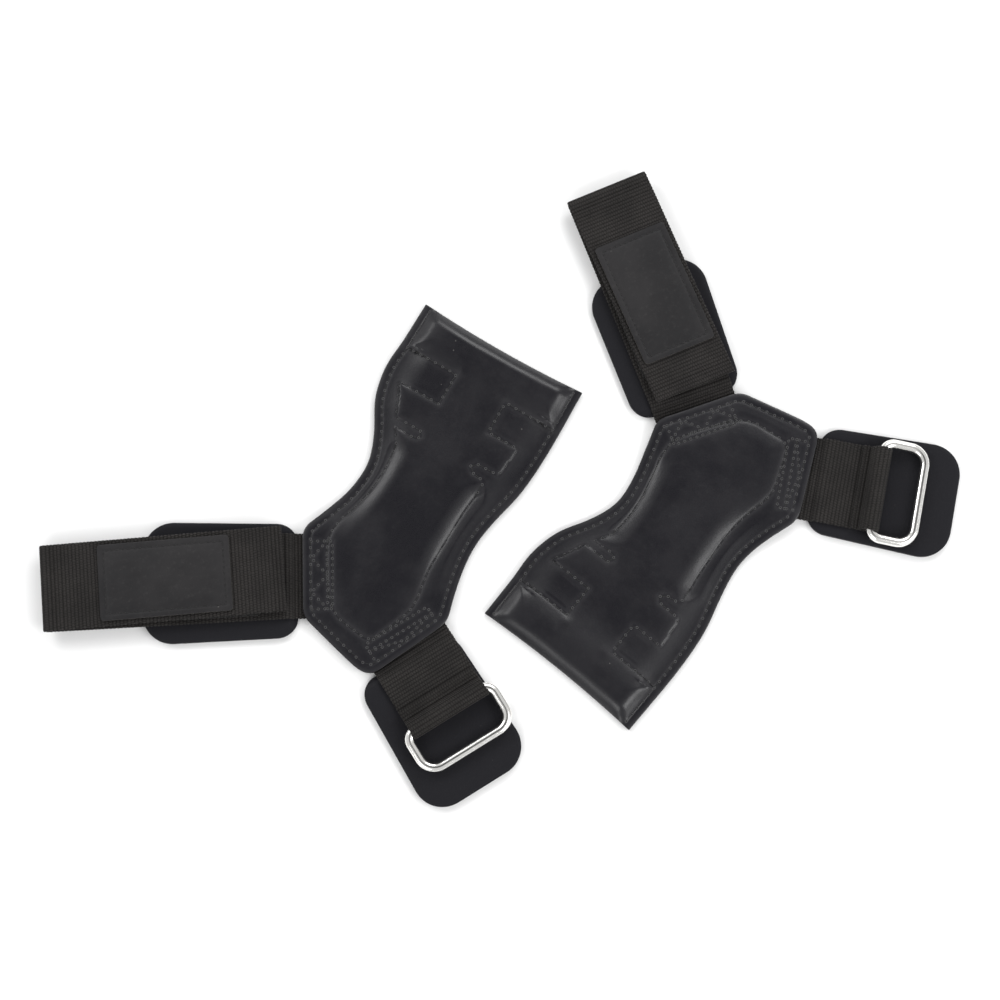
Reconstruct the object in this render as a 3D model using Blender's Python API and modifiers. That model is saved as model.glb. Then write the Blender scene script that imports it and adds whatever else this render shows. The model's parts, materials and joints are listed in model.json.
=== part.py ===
"""A pair of leather palm grips with webbing wrist straps, laid flat as left and right hands.

Each grip is drawn in its own plan: u runs across the palm, v runs from the flap end (v = 0)
down to the wrist (negative v), and z is up. The right grip is the left one mirrored in u.
"""
import math

import bmesh
import bpy
from mathutils import Matrix, Vector

MM = 0.001
GAP = 0.3 * MM

# Layers, counted up from the surface that the grips lie on
LEATHER = 1.5 * MM
FOAM = 2.5 * MM
WEBBING = 1.8 * MM
NEOPRENE = 4.2 * MM
TAPE = 1.0 * MM
PATCH_THICKNESS = 1.4 * MM

# Palm and flap
FLEX_V = -80.0 * MM
WRIST_V = -203.0 * MM
SIDE_THUMB = [(0, -52.5), (-28, -53.0), (-43, -53.9), (-63, -49.5), (-79.5, -40.2),
              (-97, -33.6), (-115, -34.4), (-133, -39.8), (-146, -44.6), (-150, -46.0)]
SIDE_RING = [(0, 52.6), (-45, 53.2), (-70, 51.3), (-88, 47.2), (-106, 44.2),
             (-122, 44.8), (-140, 48.6), (-150, 51.6), (-154.5, 52.6)]
RIM_INSET = 9.0 * MM
CROWN_INSET = 13.0 * MM
FOAM_INSET = 15.0 * MM
WRIST_ZONE = (-125.0 * MM, -138.0 * MM)
HEEL_U = (22.0 * MM, 28.0 * MM)
STRAP_EDGES_V = -120.0 * MM
SAMPLE_STEP = 7.0 * MM
FLAP_STEP = 4.5 * MM
RIM_BAND = (1.5 * MM, 2.0 * MM)
CROWN_FIT = 0.9

# The flap's pocket: a roll of foam across its end, and the narrow column of foam below it
POCKET_ROLL_V = (-7.0 * MM, -24.0 * MM)
POCKET_RISE = 3.2 * MM
POCKET_MARGIN = 8.0 * MM
POCKET_END = 6.0 * MM
POCKET_FADE = (-33.0 * MM, 7.0 * MM)
POCKET_ONLY_V = -8.0 * MM
ROLL_MARGIN = 9.0 * MM
ROLL_SLACK = 0.6 * MM
COLUMN_HALF = 13.5 * MM
COLUMN_V = (-31.0 * MM, -50.0 * MM)
COLUMN_STEP = 1.0 * MM
FLAP_FOAM_INSET = 17.0 * MM
FOAM_SIDES_END = -146.0 * MM
WRIST_FOAM = [(-24, -156), (-10, -177), (1, -182), (18, -186), (23, -182.5), (33, -161)]

# Straps: where each leaves the palm, and its direction below the u axis
WEBBING_WIDTH = 49.0 * MM
EDGE_HALF = 25.5 * MM
STRAP_EDGE = (-32.75 * MM, -171.2 * MM)
STRAP_ANGLE = math.radians(31.5)
RING_EDGE = (42.2 * MM, -177.9 * MM)
RING_EDGE_ANGLE = math.radians(24.5)
RING_STRAP_ANGLE = math.radians(28.0)
NECK_AXIS = 4.0 * MM
TAIL_DEPTH = 14.0 * MM
SLOPE_START = 4.7 * MM
SLOPE_END = 7.0 * MM

# Wrist pads, measured out from the palm's edge
PAD_HALF_WIDTH = 36.0 * MM
RING_PAD_HALF_WIDTH = 34.4 * MM
PAD_NEAR_RADIUS = 12.0 * MM
PAD_FAR_RADIUS = 18.0 * MM
PAD_ROUNDING = 1.2 * MM
PAD_TAPER = 2.8 * MM

# Long strap
TAPE_START = 26.0 * MM
TAPE_FAR_MARGIN = 12.0 * MM
TAPE_WIDTH = 44.0 * MM
PATCH_LENGTH = 75.0 * MM
PATCH_WIDTH = 43.5 * MM
PATCH_FROM_FOLD = 71.5 * MM
RETURN_START = 10.0 * MM
FOLD_MARGIN = 1.0 * MM
PATCH_CORNER = 2.0 * MM

# Ring and its strap
WIRE_RADIUS = 2.75 * MM
RING_HALF_WIDTH = 27.9 * MM
RING_REACH = 25.4 * MM
RING_CORNER = 4.4 * MM
LOOP_RADIUS = 3.4 * MM
LOOP_SWEEP = 240.0
LOOP_STEPS = 8
FLAP_START = 28.0 * MM

BLACK_LEATHER = ((0.018, 0.018, 0.020), 0.42, 0.0)
RAW_LEATHER = ((0.030, 0.028, 0.027), 0.75, 0.0)
BLACK_FOAM = ((0.035, 0.035, 0.036), 0.95, 0.0)
BLACK_WEBBING = ((0.026, 0.023, 0.021), 0.85, 0.0)
BLACK_NEOPRENE = ((0.010, 0.010, 0.012), 0.9, 0.0)
BLACK_TAPE = ((0.014, 0.014, 0.014), 0.95, 0.0)
POLISHED_STEEL = ((0.78, 0.77, 0.75), 0.12, 1.0)

# Each grip's mirroring, place and turn, then how its hand-sewn straps lie: which way the long
# strap leans, how far out it is folded back and the ring's bar is held, and each pad's start,
# end and sideways shift
GRIPS = {
    "left": {"mirror": 1, "origin": (0.885 * MM, 78.472 * MM), "turn": math.radians(-30.26),
             "lean": 1, "fold": 149.0 * MM, "bar": 41.0 * MM,
             "pad": (7.2 * MM, 91.4 * MM, -4.5 * MM),
             "ring_pad": (7.2 * MM, 88.2 * MM, -6.0 * MM)},
    "right": {"mirror": -1, "origin": (30.685 * MM, -109.428 * MM), "turn": math.radians(140.8),
              "lean": -1, "fold": 141.5 * MM, "bar": 38.8 * MM,
              "pad": (7.2 * MM, 87.8 * MM, 4.3 * MM),
              "ring_pad": (7.2 * MM, 85.4 * MM, -0.5 * MM)},
}
RUN_SHIFT = 2.0 * MM
RUN_LEAN = math.radians(2.0)
RETURN_LEAN = math.radians(3.6)

# Levels of the stacked layers
LINING_TOP = LEATHER
RIM_LOW = LINING_TOP + GAP
TAIL_TOP = RIM_LOW + WEBBING
RIM_HIGH = TAIL_TOP + GAP
FOAM_TOP = RIM_LOW + FOAM
CROWN_LOW = FOAM_TOP + GAP
CROWN_TOP = CROWN_LOW + LEATHER
RUN_LOW = NEOPRENE + GAP
RUN_TOP = RUN_LOW + WEBBING
LOOP_LOW = RUN_TOP + GAP
HOOK_LOW = LOOP_LOW + TAPE + GAP
RETURN_LOW = HOOK_LOW + TAPE + GAP
PATCH_LOW = RETURN_LOW + WEBBING + GAP
NECK_Z = TAIL_TOP + GAP
FOLD_Z = (RUN_TOP + RETURN_LOW) / 2
BAR_Z = RUN_TOP + LOOP_RADIUS
FAR_BAR_Z = NEOPRENE + GAP + WIRE_RADIUS


def clearScene():
    for item in list(bpy.data.objects):
        bpy.data.objects.remove(item, do_unlink=True)


def makeMaterial(name, finish):
    material = bpy.data.materials.new(name)
    material.use_nodes = True
    shader = material.node_tree.nodes["Principled BSDF"]
    colour, roughness, metallic = finish
    shader.inputs["Base Color"].default_value = (*colour, 1.0)
    shader.inputs["Roughness"].default_value = roughness
    shader.inputs["Metallic"].default_value = metallic
    return material


def addObject(name, data, parent, finish):
    item = bpy.data.objects.new(name, data)
    item.parent = parent
    data.materials.append(makeMaterial(name, finish))
    partsCollection.objects.link(item)
    return item


def addEmpty(name, parent, location, turn):
    empty = bpy.data.objects.new(name, None)
    empty.empty_display_size = 0.01
    empty.parent = parent
    empty.location = location
    empty.rotation_euler = (0, 0, turn)
    partsCollection.objects.link(empty)
    return empty


def addPlate(name, parent, outline, low, thickness, finish, rounding=0.0):
    """A flat piece: an outline in the parent's plan, filled and extruded upwards from low."""
    curve = bpy.data.curves.new(name, "CURVE")
    curve.dimensions = "2D"
    curve.fill_mode = "BOTH"
    curve.extrude = thickness / 2 - rounding
    curve.bevel_depth = rounding
    curve.bevel_resolution = 1
    curve.offset = -rounding
    spline = curve.splines.new("POLY")
    spline.points.add(len(outline) - 1)
    for point, (x, y) in zip(spline.points, outline):
        point.co = (x, y, 0, 1)
    spline.use_cyclic_u = True
    plate = addObject(name, curve, parent, finish)
    plate.location.z = low + thickness / 2
    return plate


def addStrip(name, parent, rows, thickness, finish):
    """A strip of webbing or leather: rows of points lofted into a sheet, thickened evenly."""
    mesh = bpy.data.meshes.new(name)
    shape = bmesh.new()
    grid = [[shape.verts.new(point) for point in row] for row in rows]
    for near, far in zip(grid, grid[1:]):
        for a, b, c, d in zip(near, near[1:], far[1:], far):
            shape.faces.new((a, b, c, d))
    bmesh.ops.recalc_face_normals(shape, faces=shape.faces)
    shape.to_mesh(mesh)
    shape.free()
    strip = addObject(name, mesh, parent, finish)
    solid = strip.modifiers.new("thickness", "SOLIDIFY")
    solid.thickness = thickness
    solid.offset = 0
    solid.use_even_offset = True
    return strip


def smooth(value):
    value = min(max(value, 0.0), 1.0)
    return value * value * (3 - 2 * value)


def sideAt(knots, v):
    """The u of a palm side at v, on a smooth curve through (v, u) knots given in millimetres."""
    v = v / MM
    index = 0
    while index < len(knots) - 2 and v < knots[index + 1][0]:
        index += 1
    (v0, u0), (v1, u1) = knots[index], knots[index + 1]
    before = knots[max(index - 1, 0)]
    after = knots[min(index + 2, len(knots) - 1)]
    slope0 = (u1 - before[1]) / (v1 - before[0])
    slope1 = (after[1] - u0) / (after[0] - v0)
    t = (v - v0) / (v1 - v0)
    span = v1 - v0
    u = ((2 * t**3 - 3 * t**2 + 1) * u0 + (t**3 - 2 * t**2 + t) * span * slope0
         + (3 * t**2 - 2 * t**3) * u1 + (t**3 - t**2) * span * slope1)
    return u * MM


def edgeEnds(middle, normalAngle, side):
    """Both ends of a straight strap edge; the first is the one nearer the flap."""
    along = Vector((side * math.sin(normalAngle), math.cos(normalAngle)))
    centre = Vector(middle)
    return centre + along * EDGE_HALF, centre - along * EDGE_HALF


strapTop, strapBottom = edgeEnds(STRAP_EDGE, STRAP_ANGLE, -1)
ringTop, ringBottom = edgeEnds(RING_EDGE, RING_EDGE_ANGLE, 1)
heelRing = Vector((HEEL_U[0], WRIST_V))
heelCorner = Vector((HEEL_U[1], WRIST_V))


def lineAt(start, end, v):
    share = (v - start.y) / (end.y - start.y)
    return start.x + (end.x - start.x) * share


def leftBound(v):
    if v > strapTop.y:
        return sideAt(SIDE_THUMB, v)
    if v > strapBottom.y:
        return lineAt(strapTop, strapBottom, v)
    return lineAt(strapBottom, heelRing, v)


def rightBound(v):
    if v > ringTop.y:
        return sideAt(SIDE_RING, v)
    if v > ringBottom.y:
        return lineAt(ringTop, ringBottom, v)
    return lineAt(ringBottom, heelCorner, v)


def stations(start, end, step=SAMPLE_STEP):
    """Values of v from start down to end, always with the outline's corners among them."""
    count = max(2, round((start - end) / step))
    values = [start + (end - start) * i / count for i in range(1, count)]
    corners = [c.y for c in (strapTop, strapBottom, ringTop, ringBottom) if end < c.y < start]
    kept = [v for v in values if all(abs(v - c) > step / 3 for c in corners)]
    return sorted([start, end] + kept + corners, reverse=True)


def palmOutline(start, end, inset=0.0):
    rows = stations(start, end)
    left = [(leftBound(v) + inset, v) for v in rows]
    right = [(rightBound(v) - inset, v) for v in rows]
    return left + right[::-1]


def mirrored(outline, mirror):
    return [(mirror * x, y) for x, y in outline]


def edgeDistance(u, v):
    """Distance in from the nearest side or strap edge; the flex line doesn't count."""
    distance = min(u - leftBound(v), rightBound(v) - u)
    if v < STRAP_EDGES_V:
        for middle, angle, side in ((STRAP_EDGE, STRAP_ANGLE, -1), (RING_EDGE, RING_EDGE_ANGLE, 1)):
            inward = Vector((-side * math.cos(angle), math.sin(angle)))
            distance = min(distance, (Vector((u, v)) - Vector(middle)).dot(inward))
        heel = (heelRing - strapBottom).normalized()
        inward = Vector((-heel.y, heel.x))
        distance = min(distance, (Vector((u, v)) - strapBottom).dot(inward))
    return distance


def faceLevel(u, v):
    """Middle of the face leather's thickness: low at the rim, crowned over the foam."""
    zone = smooth((WRIST_ZONE[0] - v) / (WRIST_ZONE[0] - WRIST_ZONE[1]))
    rim = RIM_LOW + (RIM_HIGH - RIM_LOW) * zone
    crown = smooth((edgeDistance(u, v) - RIM_INSET) / (CROWN_INSET - RIM_INSET))
    return rim + (CROWN_LOW - rim) * crown + LEATHER / 2


def flapLevel(u, v):
    """As faceLevel, with the padded pocket across the flap's end."""
    margin = min(u - leftBound(v), rightBound(v) - u)
    across = smooth(margin / POCKET_MARGIN)
    fadeEnd, fadeLength = POCKET_FADE
    along = smooth(-v / POCKET_END) * smooth((v - fadeEnd) / fadeLength)
    pocket = RIM_LOW + (CROWN_LOW + POCKET_RISE - RIM_LOW) * across * along + LEATHER / 2
    flat = RIM_LOW + LEATHER / 2
    return max(faceLevel(u, v) if v < POCKET_ONLY_V else flat, pocket)


def faceRows(start, end, mirror, level, step=SAMPLE_STEP):
    insets = [0, RIM_INSET - RIM_BAND[0], RIM_INSET + RIM_BAND[1], CROWN_INSET]
    rows = []
    for v in stations(start, end, step):
        left, right = leftBound(v), rightBound(v)
        half = (right - left) / 2
        fit = min(1.0, half * CROWN_FIT / CROWN_INSET)
        across = [left + inset * fit for inset in insets] + [(left + right) / 2]
        across += [right - inset * fit for inset in reversed(insets)]
        rows.append([(mirror * u, v, level(u, v)) for u in across])
    return rows


def palmFoamOutline():
    sides = palmOutline(FLEX_V - GAP / 2, FOAM_SIDES_END, FOAM_INSET)
    half = len(sides) // 2
    return sides[:half] + [(u * MM, v * MM) for u, v in WRIST_FOAM] + sides[half:]


def flapFoamOutline():
    high, low = COLUMN_V
    body = palmOutline(low - COLUMN_STEP, FLEX_V + GAP / 2, FLAP_FOAM_INSET)
    left = [(-COLUMN_HALF, high), (-COLUMN_HALF, low)]
    right = [(COLUMN_HALF, low), (COLUMN_HALF, high)]
    return left + body + right


def buildPalm(side, grip, frame):
    mirror = grip["mirror"]
    start = FLEX_V - GAP / 2
    addPlate(side + "_palm_lining", frame, mirrored(palmOutline(start, WRIST_V), mirror),
             0, LEATHER, BLACK_LEATHER)
    addPlate(side + "_palm_foam", frame, mirrored(palmFoamOutline(), mirror),
             RIM_LOW, FOAM, BLACK_FOAM)
    addStrip(side + "_palm_face", frame, faceRows(start, WRIST_V, mirror, faceLevel),
             LEATHER, BLACK_LEATHER)


def buildFlap(side, grip, frame):
    mirror = grip["mirror"]
    end = FLEX_V + GAP / 2
    hinge = addEmpty(side + "_flap_hinge", frame, (0, FLEX_V, CROWN_TOP), 0)
    base = addEmpty(side + "_flap", hinge, (0, -FLEX_V, -CROWN_TOP), 0)
    addPlate(side + "_flap_lining", base, mirrored(palmOutline(0, end), mirror),
             0, LEATHER, BLACK_LEATHER)
    addPlate(side + "_flap_foam", base, mirrored(flapFoamOutline(), mirror),
             RIM_LOW, FOAM, BLACK_FOAM)
    roll = palmOutline(*POCKET_ROLL_V, ROLL_MARGIN)
    addPlate(side + "_flap_end_roll", base, mirrored(roll, mirror),
             RIM_LOW, FOAM + POCKET_RISE - ROLL_SLACK, BLACK_FOAM, PAD_ROUNDING)
    addStrip(side + "_flap_face", base, faceRows(0, end, mirror, flapLevel, FLAP_STEP),
             LEATHER, BLACK_LEATHER)


def strapFrame(name, parent, middle, angle, outward, mirror):
    """An empty at the middle of a strap's edge; its x axis points out along the strap."""
    turn = math.atan2(-math.sin(angle), mirror * outward * math.cos(angle))
    return addEmpty(name, parent, (mirror * middle[0], middle[1], 0), turn)


def rectangle(start, end, halfWidth, centre=0.0):
    return [(start, centre - halfWidth), (end, centre - halfWidth),
            (end, centre + halfWidth), (start, centre + halfWidth)]


def turned(points, angle, about=(0.0, 0.0)):
    """Points turned about a centre, in the plan."""
    centre = Vector(about)
    result = []
    for point in points:
        offset = Vector(point) - centre
        offset.rotate(Matrix.Rotation(angle, 2))
        result.append(tuple(centre + offset))
    return result


def rounded(corners, radii, steps=5):
    """A closed outline with each corner replaced by an arc of its own radius."""
    outline = []
    count = len(corners)
    for index, radius in enumerate(radii):
        corner = Vector(corners[index])
        back = (Vector(corners[index - 1]) - corner).normalized()
        ahead = (Vector(corners[(index + 1) % count]) - corner).normalized()
        half = back.angle(ahead) / 2
        centre = corner + (back + ahead).normalized() * radius / math.sin(half)
        start = corner + back * radius / math.tan(half) - centre
        sweep = math.pi - 2 * half
        if back.cross(ahead) > 0:
            sweep = -sweep
        for step in range(steps + 1):
            arm = start.copy()
            arm.rotate(Matrix.Rotation(sweep * step / steps, 2))
            outline.append(tuple(centre + arm))
    return outline


def addPad(name, parent, across, place, halfWidth):
    """A neoprene wrist pad: a tapered plate with large corners, larger at its far end."""
    start, end, shift = place
    near = start - NECK_AXIS
    far = end - NECK_AXIS
    high = shift + halfWidth
    low = shift - halfWidth
    corners = [(near, across * (low + PAD_TAPER)), (far, across * low),
               (far, across * high), (near, across * (high - PAD_TAPER))]
    radii = (PAD_NEAR_RADIUS, PAD_FAR_RADIUS, PAD_FAR_RADIUS, PAD_NEAR_RADIUS)
    addPlate(name, parent, rounded(corners, radii), 0, NEOPRENE, BLACK_NEOPRENE, PAD_ROUNDING)


def runRows(shift, turn, fold):
    """The long strap's rows: flat at the hinge, up on to the pad, then straight to the fold."""
    half = WEBBING_WIDTH / 2
    slopeEnd = SLOPE_END - NECK_AXIS
    lowZ = RIM_LOW + WEBBING / 2
    runZ = RUN_LOW + WEBBING / 2
    rows = [[(x, shift + s * half, lowZ) for s in (-1, 1)]
            for x in (GAP / 2, SLOPE_START - NECK_AXIS)]
    middle = shift + slopeEnd * math.tan(turn)
    rows.append([(slopeEnd, middle + s * half, runZ) for s in (-1, 1)])
    farEnd = fold - Vector((FOLD_MARGIN, 0))
    sideways = Vector((-math.sin(turn), math.cos(turn))) * half
    rows.append([(*(farEnd + s * sideways), runZ) for s in (-1, 1)])
    return rows


def buildStrap(side, grip, frame):
    mirror = grip["mirror"]
    across = -mirror
    edge = strapFrame(side + "_strap_edge", frame, STRAP_EDGE, STRAP_ANGLE, -1, mirror)
    shift = -across * grip["lean"] * RUN_SHIFT
    tail = rectangle(-TAIL_DEPTH, NECK_AXIS - GAP / 2, WEBBING_WIDTH / 2, shift)
    addPlate(side + "_strap_tail", edge, tail, RIM_LOW, WEBBING, BLACK_WEBBING)

    neck = addEmpty(side + "_strap_neck", edge, (NECK_AXIS, 0, NECK_Z), 0)
    base = addEmpty(side + "_strap", neck, (0, 0, -NECK_Z), 0)
    addPad(side + "_strap_pad", base, across, grip["pad"], PAD_HALF_WIDTH)
    turn = -across * grip["lean"] * RUN_LEAN
    reach = grip["fold"] - NECK_AXIS
    fold = Vector((reach, shift + reach * math.tan(turn)))
    addStrip(side + "_strap_run", base, runRows(shift, turn, fold), WEBBING, BLACK_WEBBING)
    loop = rectangle(TAPE_START - grip["fold"], -TAPE_FAR_MARGIN, TAPE_WIDTH / 2)
    loopTape = addPlate(side + "_loop_tape", base, loop, LOOP_LOW, TAPE, BLACK_TAPE)
    loopTape.location = (fold.x, fold.y, LOOP_LOW + TAPE / 2)
    loopTape.rotation_euler.z = turn

    end = addEmpty(side + "_strap_fold", base, (fold.x, fold.y, FOLD_Z), turn)
    top = addEmpty(side + "_strap_end", end, (0, 0, -FOLD_Z), 0)
    buildStrapEnd(side, top, grip["fold"], -across * grip["lean"] * (RETURN_LEAN - RUN_LEAN))


def buildStrapEnd(side, top, foldOut, bend):
    """The end that is folded back over the run: its webbing, hook tape and leather patch."""
    hook = rectangle(TAPE_START - foldOut, -TAPE_FAR_MARGIN, TAPE_WIDTH / 2)
    addPlate(side + "_hook_tape", top, turned(hook, bend), HOOK_LOW, TAPE, BLACK_TAPE)
    back = rectangle(RETURN_START - foldOut, -FOLD_MARGIN, WEBBING_WIDTH / 2)
    addPlate(side + "_strap_return", top, turned(back, bend), RETURN_LOW, WEBBING, BLACK_WEBBING)
    patch = rectangle(-PATCH_FROM_FOLD - PATCH_LENGTH / 2, -PATCH_FROM_FOLD + PATCH_LENGTH / 2,
                      PATCH_WIDTH / 2)
    patch = rounded(patch, (PATCH_CORNER,) * 4, 2)
    addPlate(side + "_leather_patch", top, turned(patch, bend), PATCH_LOW, PATCH_THICKNESS,
             BLACK_LEATHER)


def loopPath(bar):
    """Side view of the ring strap: out over the pad, round the bar and back on top."""
    low = RIM_LOW + WEBBING / 2
    flat = RUN_LOW + WEBBING / 2
    radius = LOOP_RADIUS + WEBBING / 2
    rest = RUN_TOP + GAP + WEBBING / 2
    path = [(GAP / 2, low), (SLOPE_START - NECK_AXIS, low), (SLOPE_END - NECK_AXIS, flat)]
    for step in range(LOOP_STEPS + 1):
        angle = -math.pi / 2 + math.radians(LOOP_SWEEP) * step / LOOP_STEPS
        path.append((bar + radius * math.cos(angle), BAR_Z + radius * math.sin(angle)))
    x, z = path[-1]
    path.append((x + (z - rest) * math.tan(angle), rest))
    path.append((FLAP_START - NECK_AXIS, rest))
    return path


def buildRingStrap(side, grip, frame):
    mirror = grip["mirror"]
    half = WEBBING_WIDTH / 2
    bar = grip["bar"] - NECK_AXIS
    edge = strapFrame(side + "_ring_strap_edge", frame, RING_EDGE, RING_STRAP_ANGLE, 1, mirror)
    addPlate(side + "_ring_strap_tail", edge, rectangle(-TAIL_DEPTH, NECK_AXIS - GAP / 2, half),
             RIM_LOW, WEBBING, BLACK_WEBBING)

    neck = addEmpty(side + "_ring_strap_neck", edge, (NECK_AXIS, 0, NECK_Z), 0)
    base = addEmpty(side + "_ring_tab", neck, (0, 0, -NECK_Z), 0)
    addPad(side + "_ring_pad", base, mirror, grip["ring_pad"], RING_PAD_HALF_WIDTH)
    rows = [[(x, s * half, z) for s in (-1, 1)] for x, z in loopPath(bar)]
    addStrip(side + "_ring_strap", base, rows, WEBBING, BLACK_WEBBING)
    addRing(side, base, bar)


def addRing(side, base, bar):
    """The wire ring, hung on its near bar and resting on the pad with its far bar."""
    hinge = addEmpty(side + "_ring_hinge", base, (bar, 0, BAR_Z), 0)
    corners = rectangle(0, RING_REACH, RING_HALF_WIDTH)
    curve = bpy.data.curves.new(side + "_ring", "CURVE")
    curve.dimensions = "3D"
    curve.bevel_depth = WIRE_RADIUS
    curve.bevel_resolution = 3
    spline = curve.splines.new("POLY")
    path = rounded(corners, (RING_CORNER,) * 4, 4)
    spline.points.add(len(path) - 1)
    for point, (x, y) in zip(spline.points, path):
        point.co = (x, y, 0, 1)
    spline.use_cyclic_u = True
    ring = addObject(side + "_ring", curve, hinge, POLISHED_STEEL)
    ring.rotation_euler.y = math.asin((BAR_Z - FAR_BAR_Z) / RING_REACH)


def buildGrip(side, grip):
    x, y = grip["origin"]
    frame = addEmpty(side + "_grip", None, (x, y, 0), grip["turn"])
    buildPalm(side, grip, frame)
    buildFlap(side, grip, frame)
    buildStrap(side, grip, frame)
    buildRingStrap(side, grip, frame)


clearScene()
partsCollection = bpy.data.collections.new("hand_grips")
bpy.context.scene.collection.children.link(partsCollection)
for gripSide, gripSettings in GRIPS.items():
    buildGrip(gripSide, gripSettings)
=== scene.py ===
import json
import math

import bmesh
import bpy
import numpy as np
from mathutils import Matrix, Vector, noise


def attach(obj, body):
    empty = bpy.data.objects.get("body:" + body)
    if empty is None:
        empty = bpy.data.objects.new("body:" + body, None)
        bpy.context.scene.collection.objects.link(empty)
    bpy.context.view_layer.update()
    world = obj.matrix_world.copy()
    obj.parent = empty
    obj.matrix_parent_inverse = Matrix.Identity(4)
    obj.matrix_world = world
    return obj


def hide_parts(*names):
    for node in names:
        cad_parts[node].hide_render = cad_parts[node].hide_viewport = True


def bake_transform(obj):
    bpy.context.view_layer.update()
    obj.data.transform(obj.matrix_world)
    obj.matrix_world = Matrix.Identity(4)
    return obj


# The looks of a pair of leather palm grips. Lengths in the settings are in millimetres.
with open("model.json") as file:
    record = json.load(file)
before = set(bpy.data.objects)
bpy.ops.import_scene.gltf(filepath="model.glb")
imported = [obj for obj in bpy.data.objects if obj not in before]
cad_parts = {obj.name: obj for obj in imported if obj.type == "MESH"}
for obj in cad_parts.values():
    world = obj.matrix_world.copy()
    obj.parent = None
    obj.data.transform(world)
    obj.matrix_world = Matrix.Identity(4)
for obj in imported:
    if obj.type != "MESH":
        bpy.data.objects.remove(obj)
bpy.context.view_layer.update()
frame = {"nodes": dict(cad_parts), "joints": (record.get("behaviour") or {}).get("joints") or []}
mm = 0.001
joints = {joint["name"]: joint for joint in frame["joints"]}
up = Vector((0, 0, 1))


# places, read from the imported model

def placeOf(origin, across, along):
    place = Matrix((across, along, up)).transposed().to_4x4()
    place.translation = Vector((origin[0], origin[1], 0))
    return place


def hingePlace(name, sign):
    # x runs out along the strap, y along the hinge, and z = 0 is the table
    along = Vector(joints[name]["axis"]) * sign
    return placeOf(joints[name]["pos_m"], along.cross(up), along)


def nodePoints(node, place):
    turn = np.array(place.inverted())
    count = len(frame["nodes"][node].data.vertices)
    points = np.empty(count * 3, np.float32)
    frame["nodes"][node].data.vertices.foreach_get("co", points)
    return (points.reshape(-1, 3) @ turn[:3, :3].T + turn[:3, 3]) / mm


def nodeBox(node, place):
    points = nodePoints(node, place)
    return points.min(0), points.max(0)


def gripPlace(side):
    # x is u, from the long strap's side to the ring's side, and y is v, up to the flap's end
    hinge = Vector(joints[side + "_flap_fold"]["pos_m"])
    across = Vector(joints[side + "_flap_fold"]["axis"])
    along = up.cross(across)
    strap = Vector(joints[side + "_strap_fold_up"]["pos_m"])
    mirror = -1 if (strap - hinge).dot(across) > 0 else 1
    end = float(nodeBox(side + "_flap_lining", placeOf(hinge, across, along))[1][1])
    return placeOf(hinge + along * end * mm, across * mirror, along)


def smoothStep(value):
    value = np.clip(value, 0, 1)
    return value * value * (3 - 2 * value)


# lines

def softLine(points, step, corner=18):
    # a smooth line through the points, which keeps the corners that turn more than corner degrees
    points = np.array(points, float)
    spans = points[1:] - points[:-1]
    lengths = np.linalg.norm(spans, axis=1)
    made = [points[0]]
    last = len(spans) - 1
    for i, (span, length) in enumerate(zip(spans, lengths)):
        tangents = []
        for other, pair in ((i - 1, (i - 1, i)), (i + 1, (i, i + 1))):
            tangent = span
            if 0 <= other <= last:
                a, b = spans[pair[0]], spans[pair[1]]
                turn = math.degrees(math.acos(np.clip(a @ b / (lengths[pair[0]] * lengths[pair[1]]), -1, 1)))
                if turn < corner:
                    tangent = (a + b) / np.linalg.norm(a + b) * length
            tangents.append(tangent)
        count = max(1, round(length / step))
        for t in np.arange(1, count + 1) / count:
            made.append((2 * t**3 - 3 * t**2 + 1) * points[i] + (t**3 - 2 * t**2 + t) * tangents[0]
                        + (3 * t**2 - 2 * t**3) * points[i + 1] + (t**3 - t**2) * tangents[1])
    return np.array(made)


def lineDistance(points, line):
    best = np.full(len(points), 1e9)
    for a, b in zip(line[:-1], line[1:]):
        span = b - a
        share = np.clip(((points - a) @ span) / max(span @ span, 1e-9), 0, 1)
        best = np.minimum(best, np.linalg.norm(points - a - share[:, None] * span, axis=1))
    return best


def insideLine(points, line):
    inside = np.zeros(len(points), bool)
    for a, b in zip(line, np.roll(line, -1, axis=0)):
        crosses = (a[1] > points[:, 1]) != (b[1] > points[:, 1])
        if crosses.any():
            at = a[0] + (points[:, 1] - a[1]) / (b[1] - a[1] + 1e-12) * (b[0] - a[0])
            inside ^= crosses & (points[:, 0] < at)
    return inside


def evenly(line, pitch):
    lengths = np.concatenate([[0], np.cumsum(np.linalg.norm(np.diff(line, axis=0), axis=1))])
    count = max(1, round(lengths[-1] / pitch))
    at = np.linspace(0, lengths[-1], count + 1)
    return np.stack([np.interp(at, lengths, line[:, k]) for k in range(line.shape[1])], axis=1)


# pieces

def toMesh(shape, name):
    mesh = bpy.data.meshes.new(name)
    shape.to_mesh(mesh)
    shape.free()
    return mesh


def finishPiece(shape, name, place, materials, smooth=True, mend=True):
    # the shape's place goes into its mesh, and its faces point outwards
    bmesh.ops.scale(shape, vec=(mm, mm, mm), verts=shape.verts)
    bmesh.ops.transform(shape, matrix=place, verts=shape.verts)
    if mend:
        bmesh.ops.recalc_face_normals(shape, faces=shape.faces)
    mesh = toMesh(shape, name)
    piece = bpy.data.objects.new(name, mesh)
    bpy.context.scene.collection.objects.link(piece)
    for material in materials:
        mesh.materials.append(material)
    for face in mesh.polygons:
        face.use_smooth = smooth
    return piece


def spots(shape):
    return np.array([vertex.co for vertex in shape.verts], float).reshape(-1, 3)


def moveTo(shape, points):
    for vertex, point in zip(shape.verts, points):
        vertex.co = point


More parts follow.
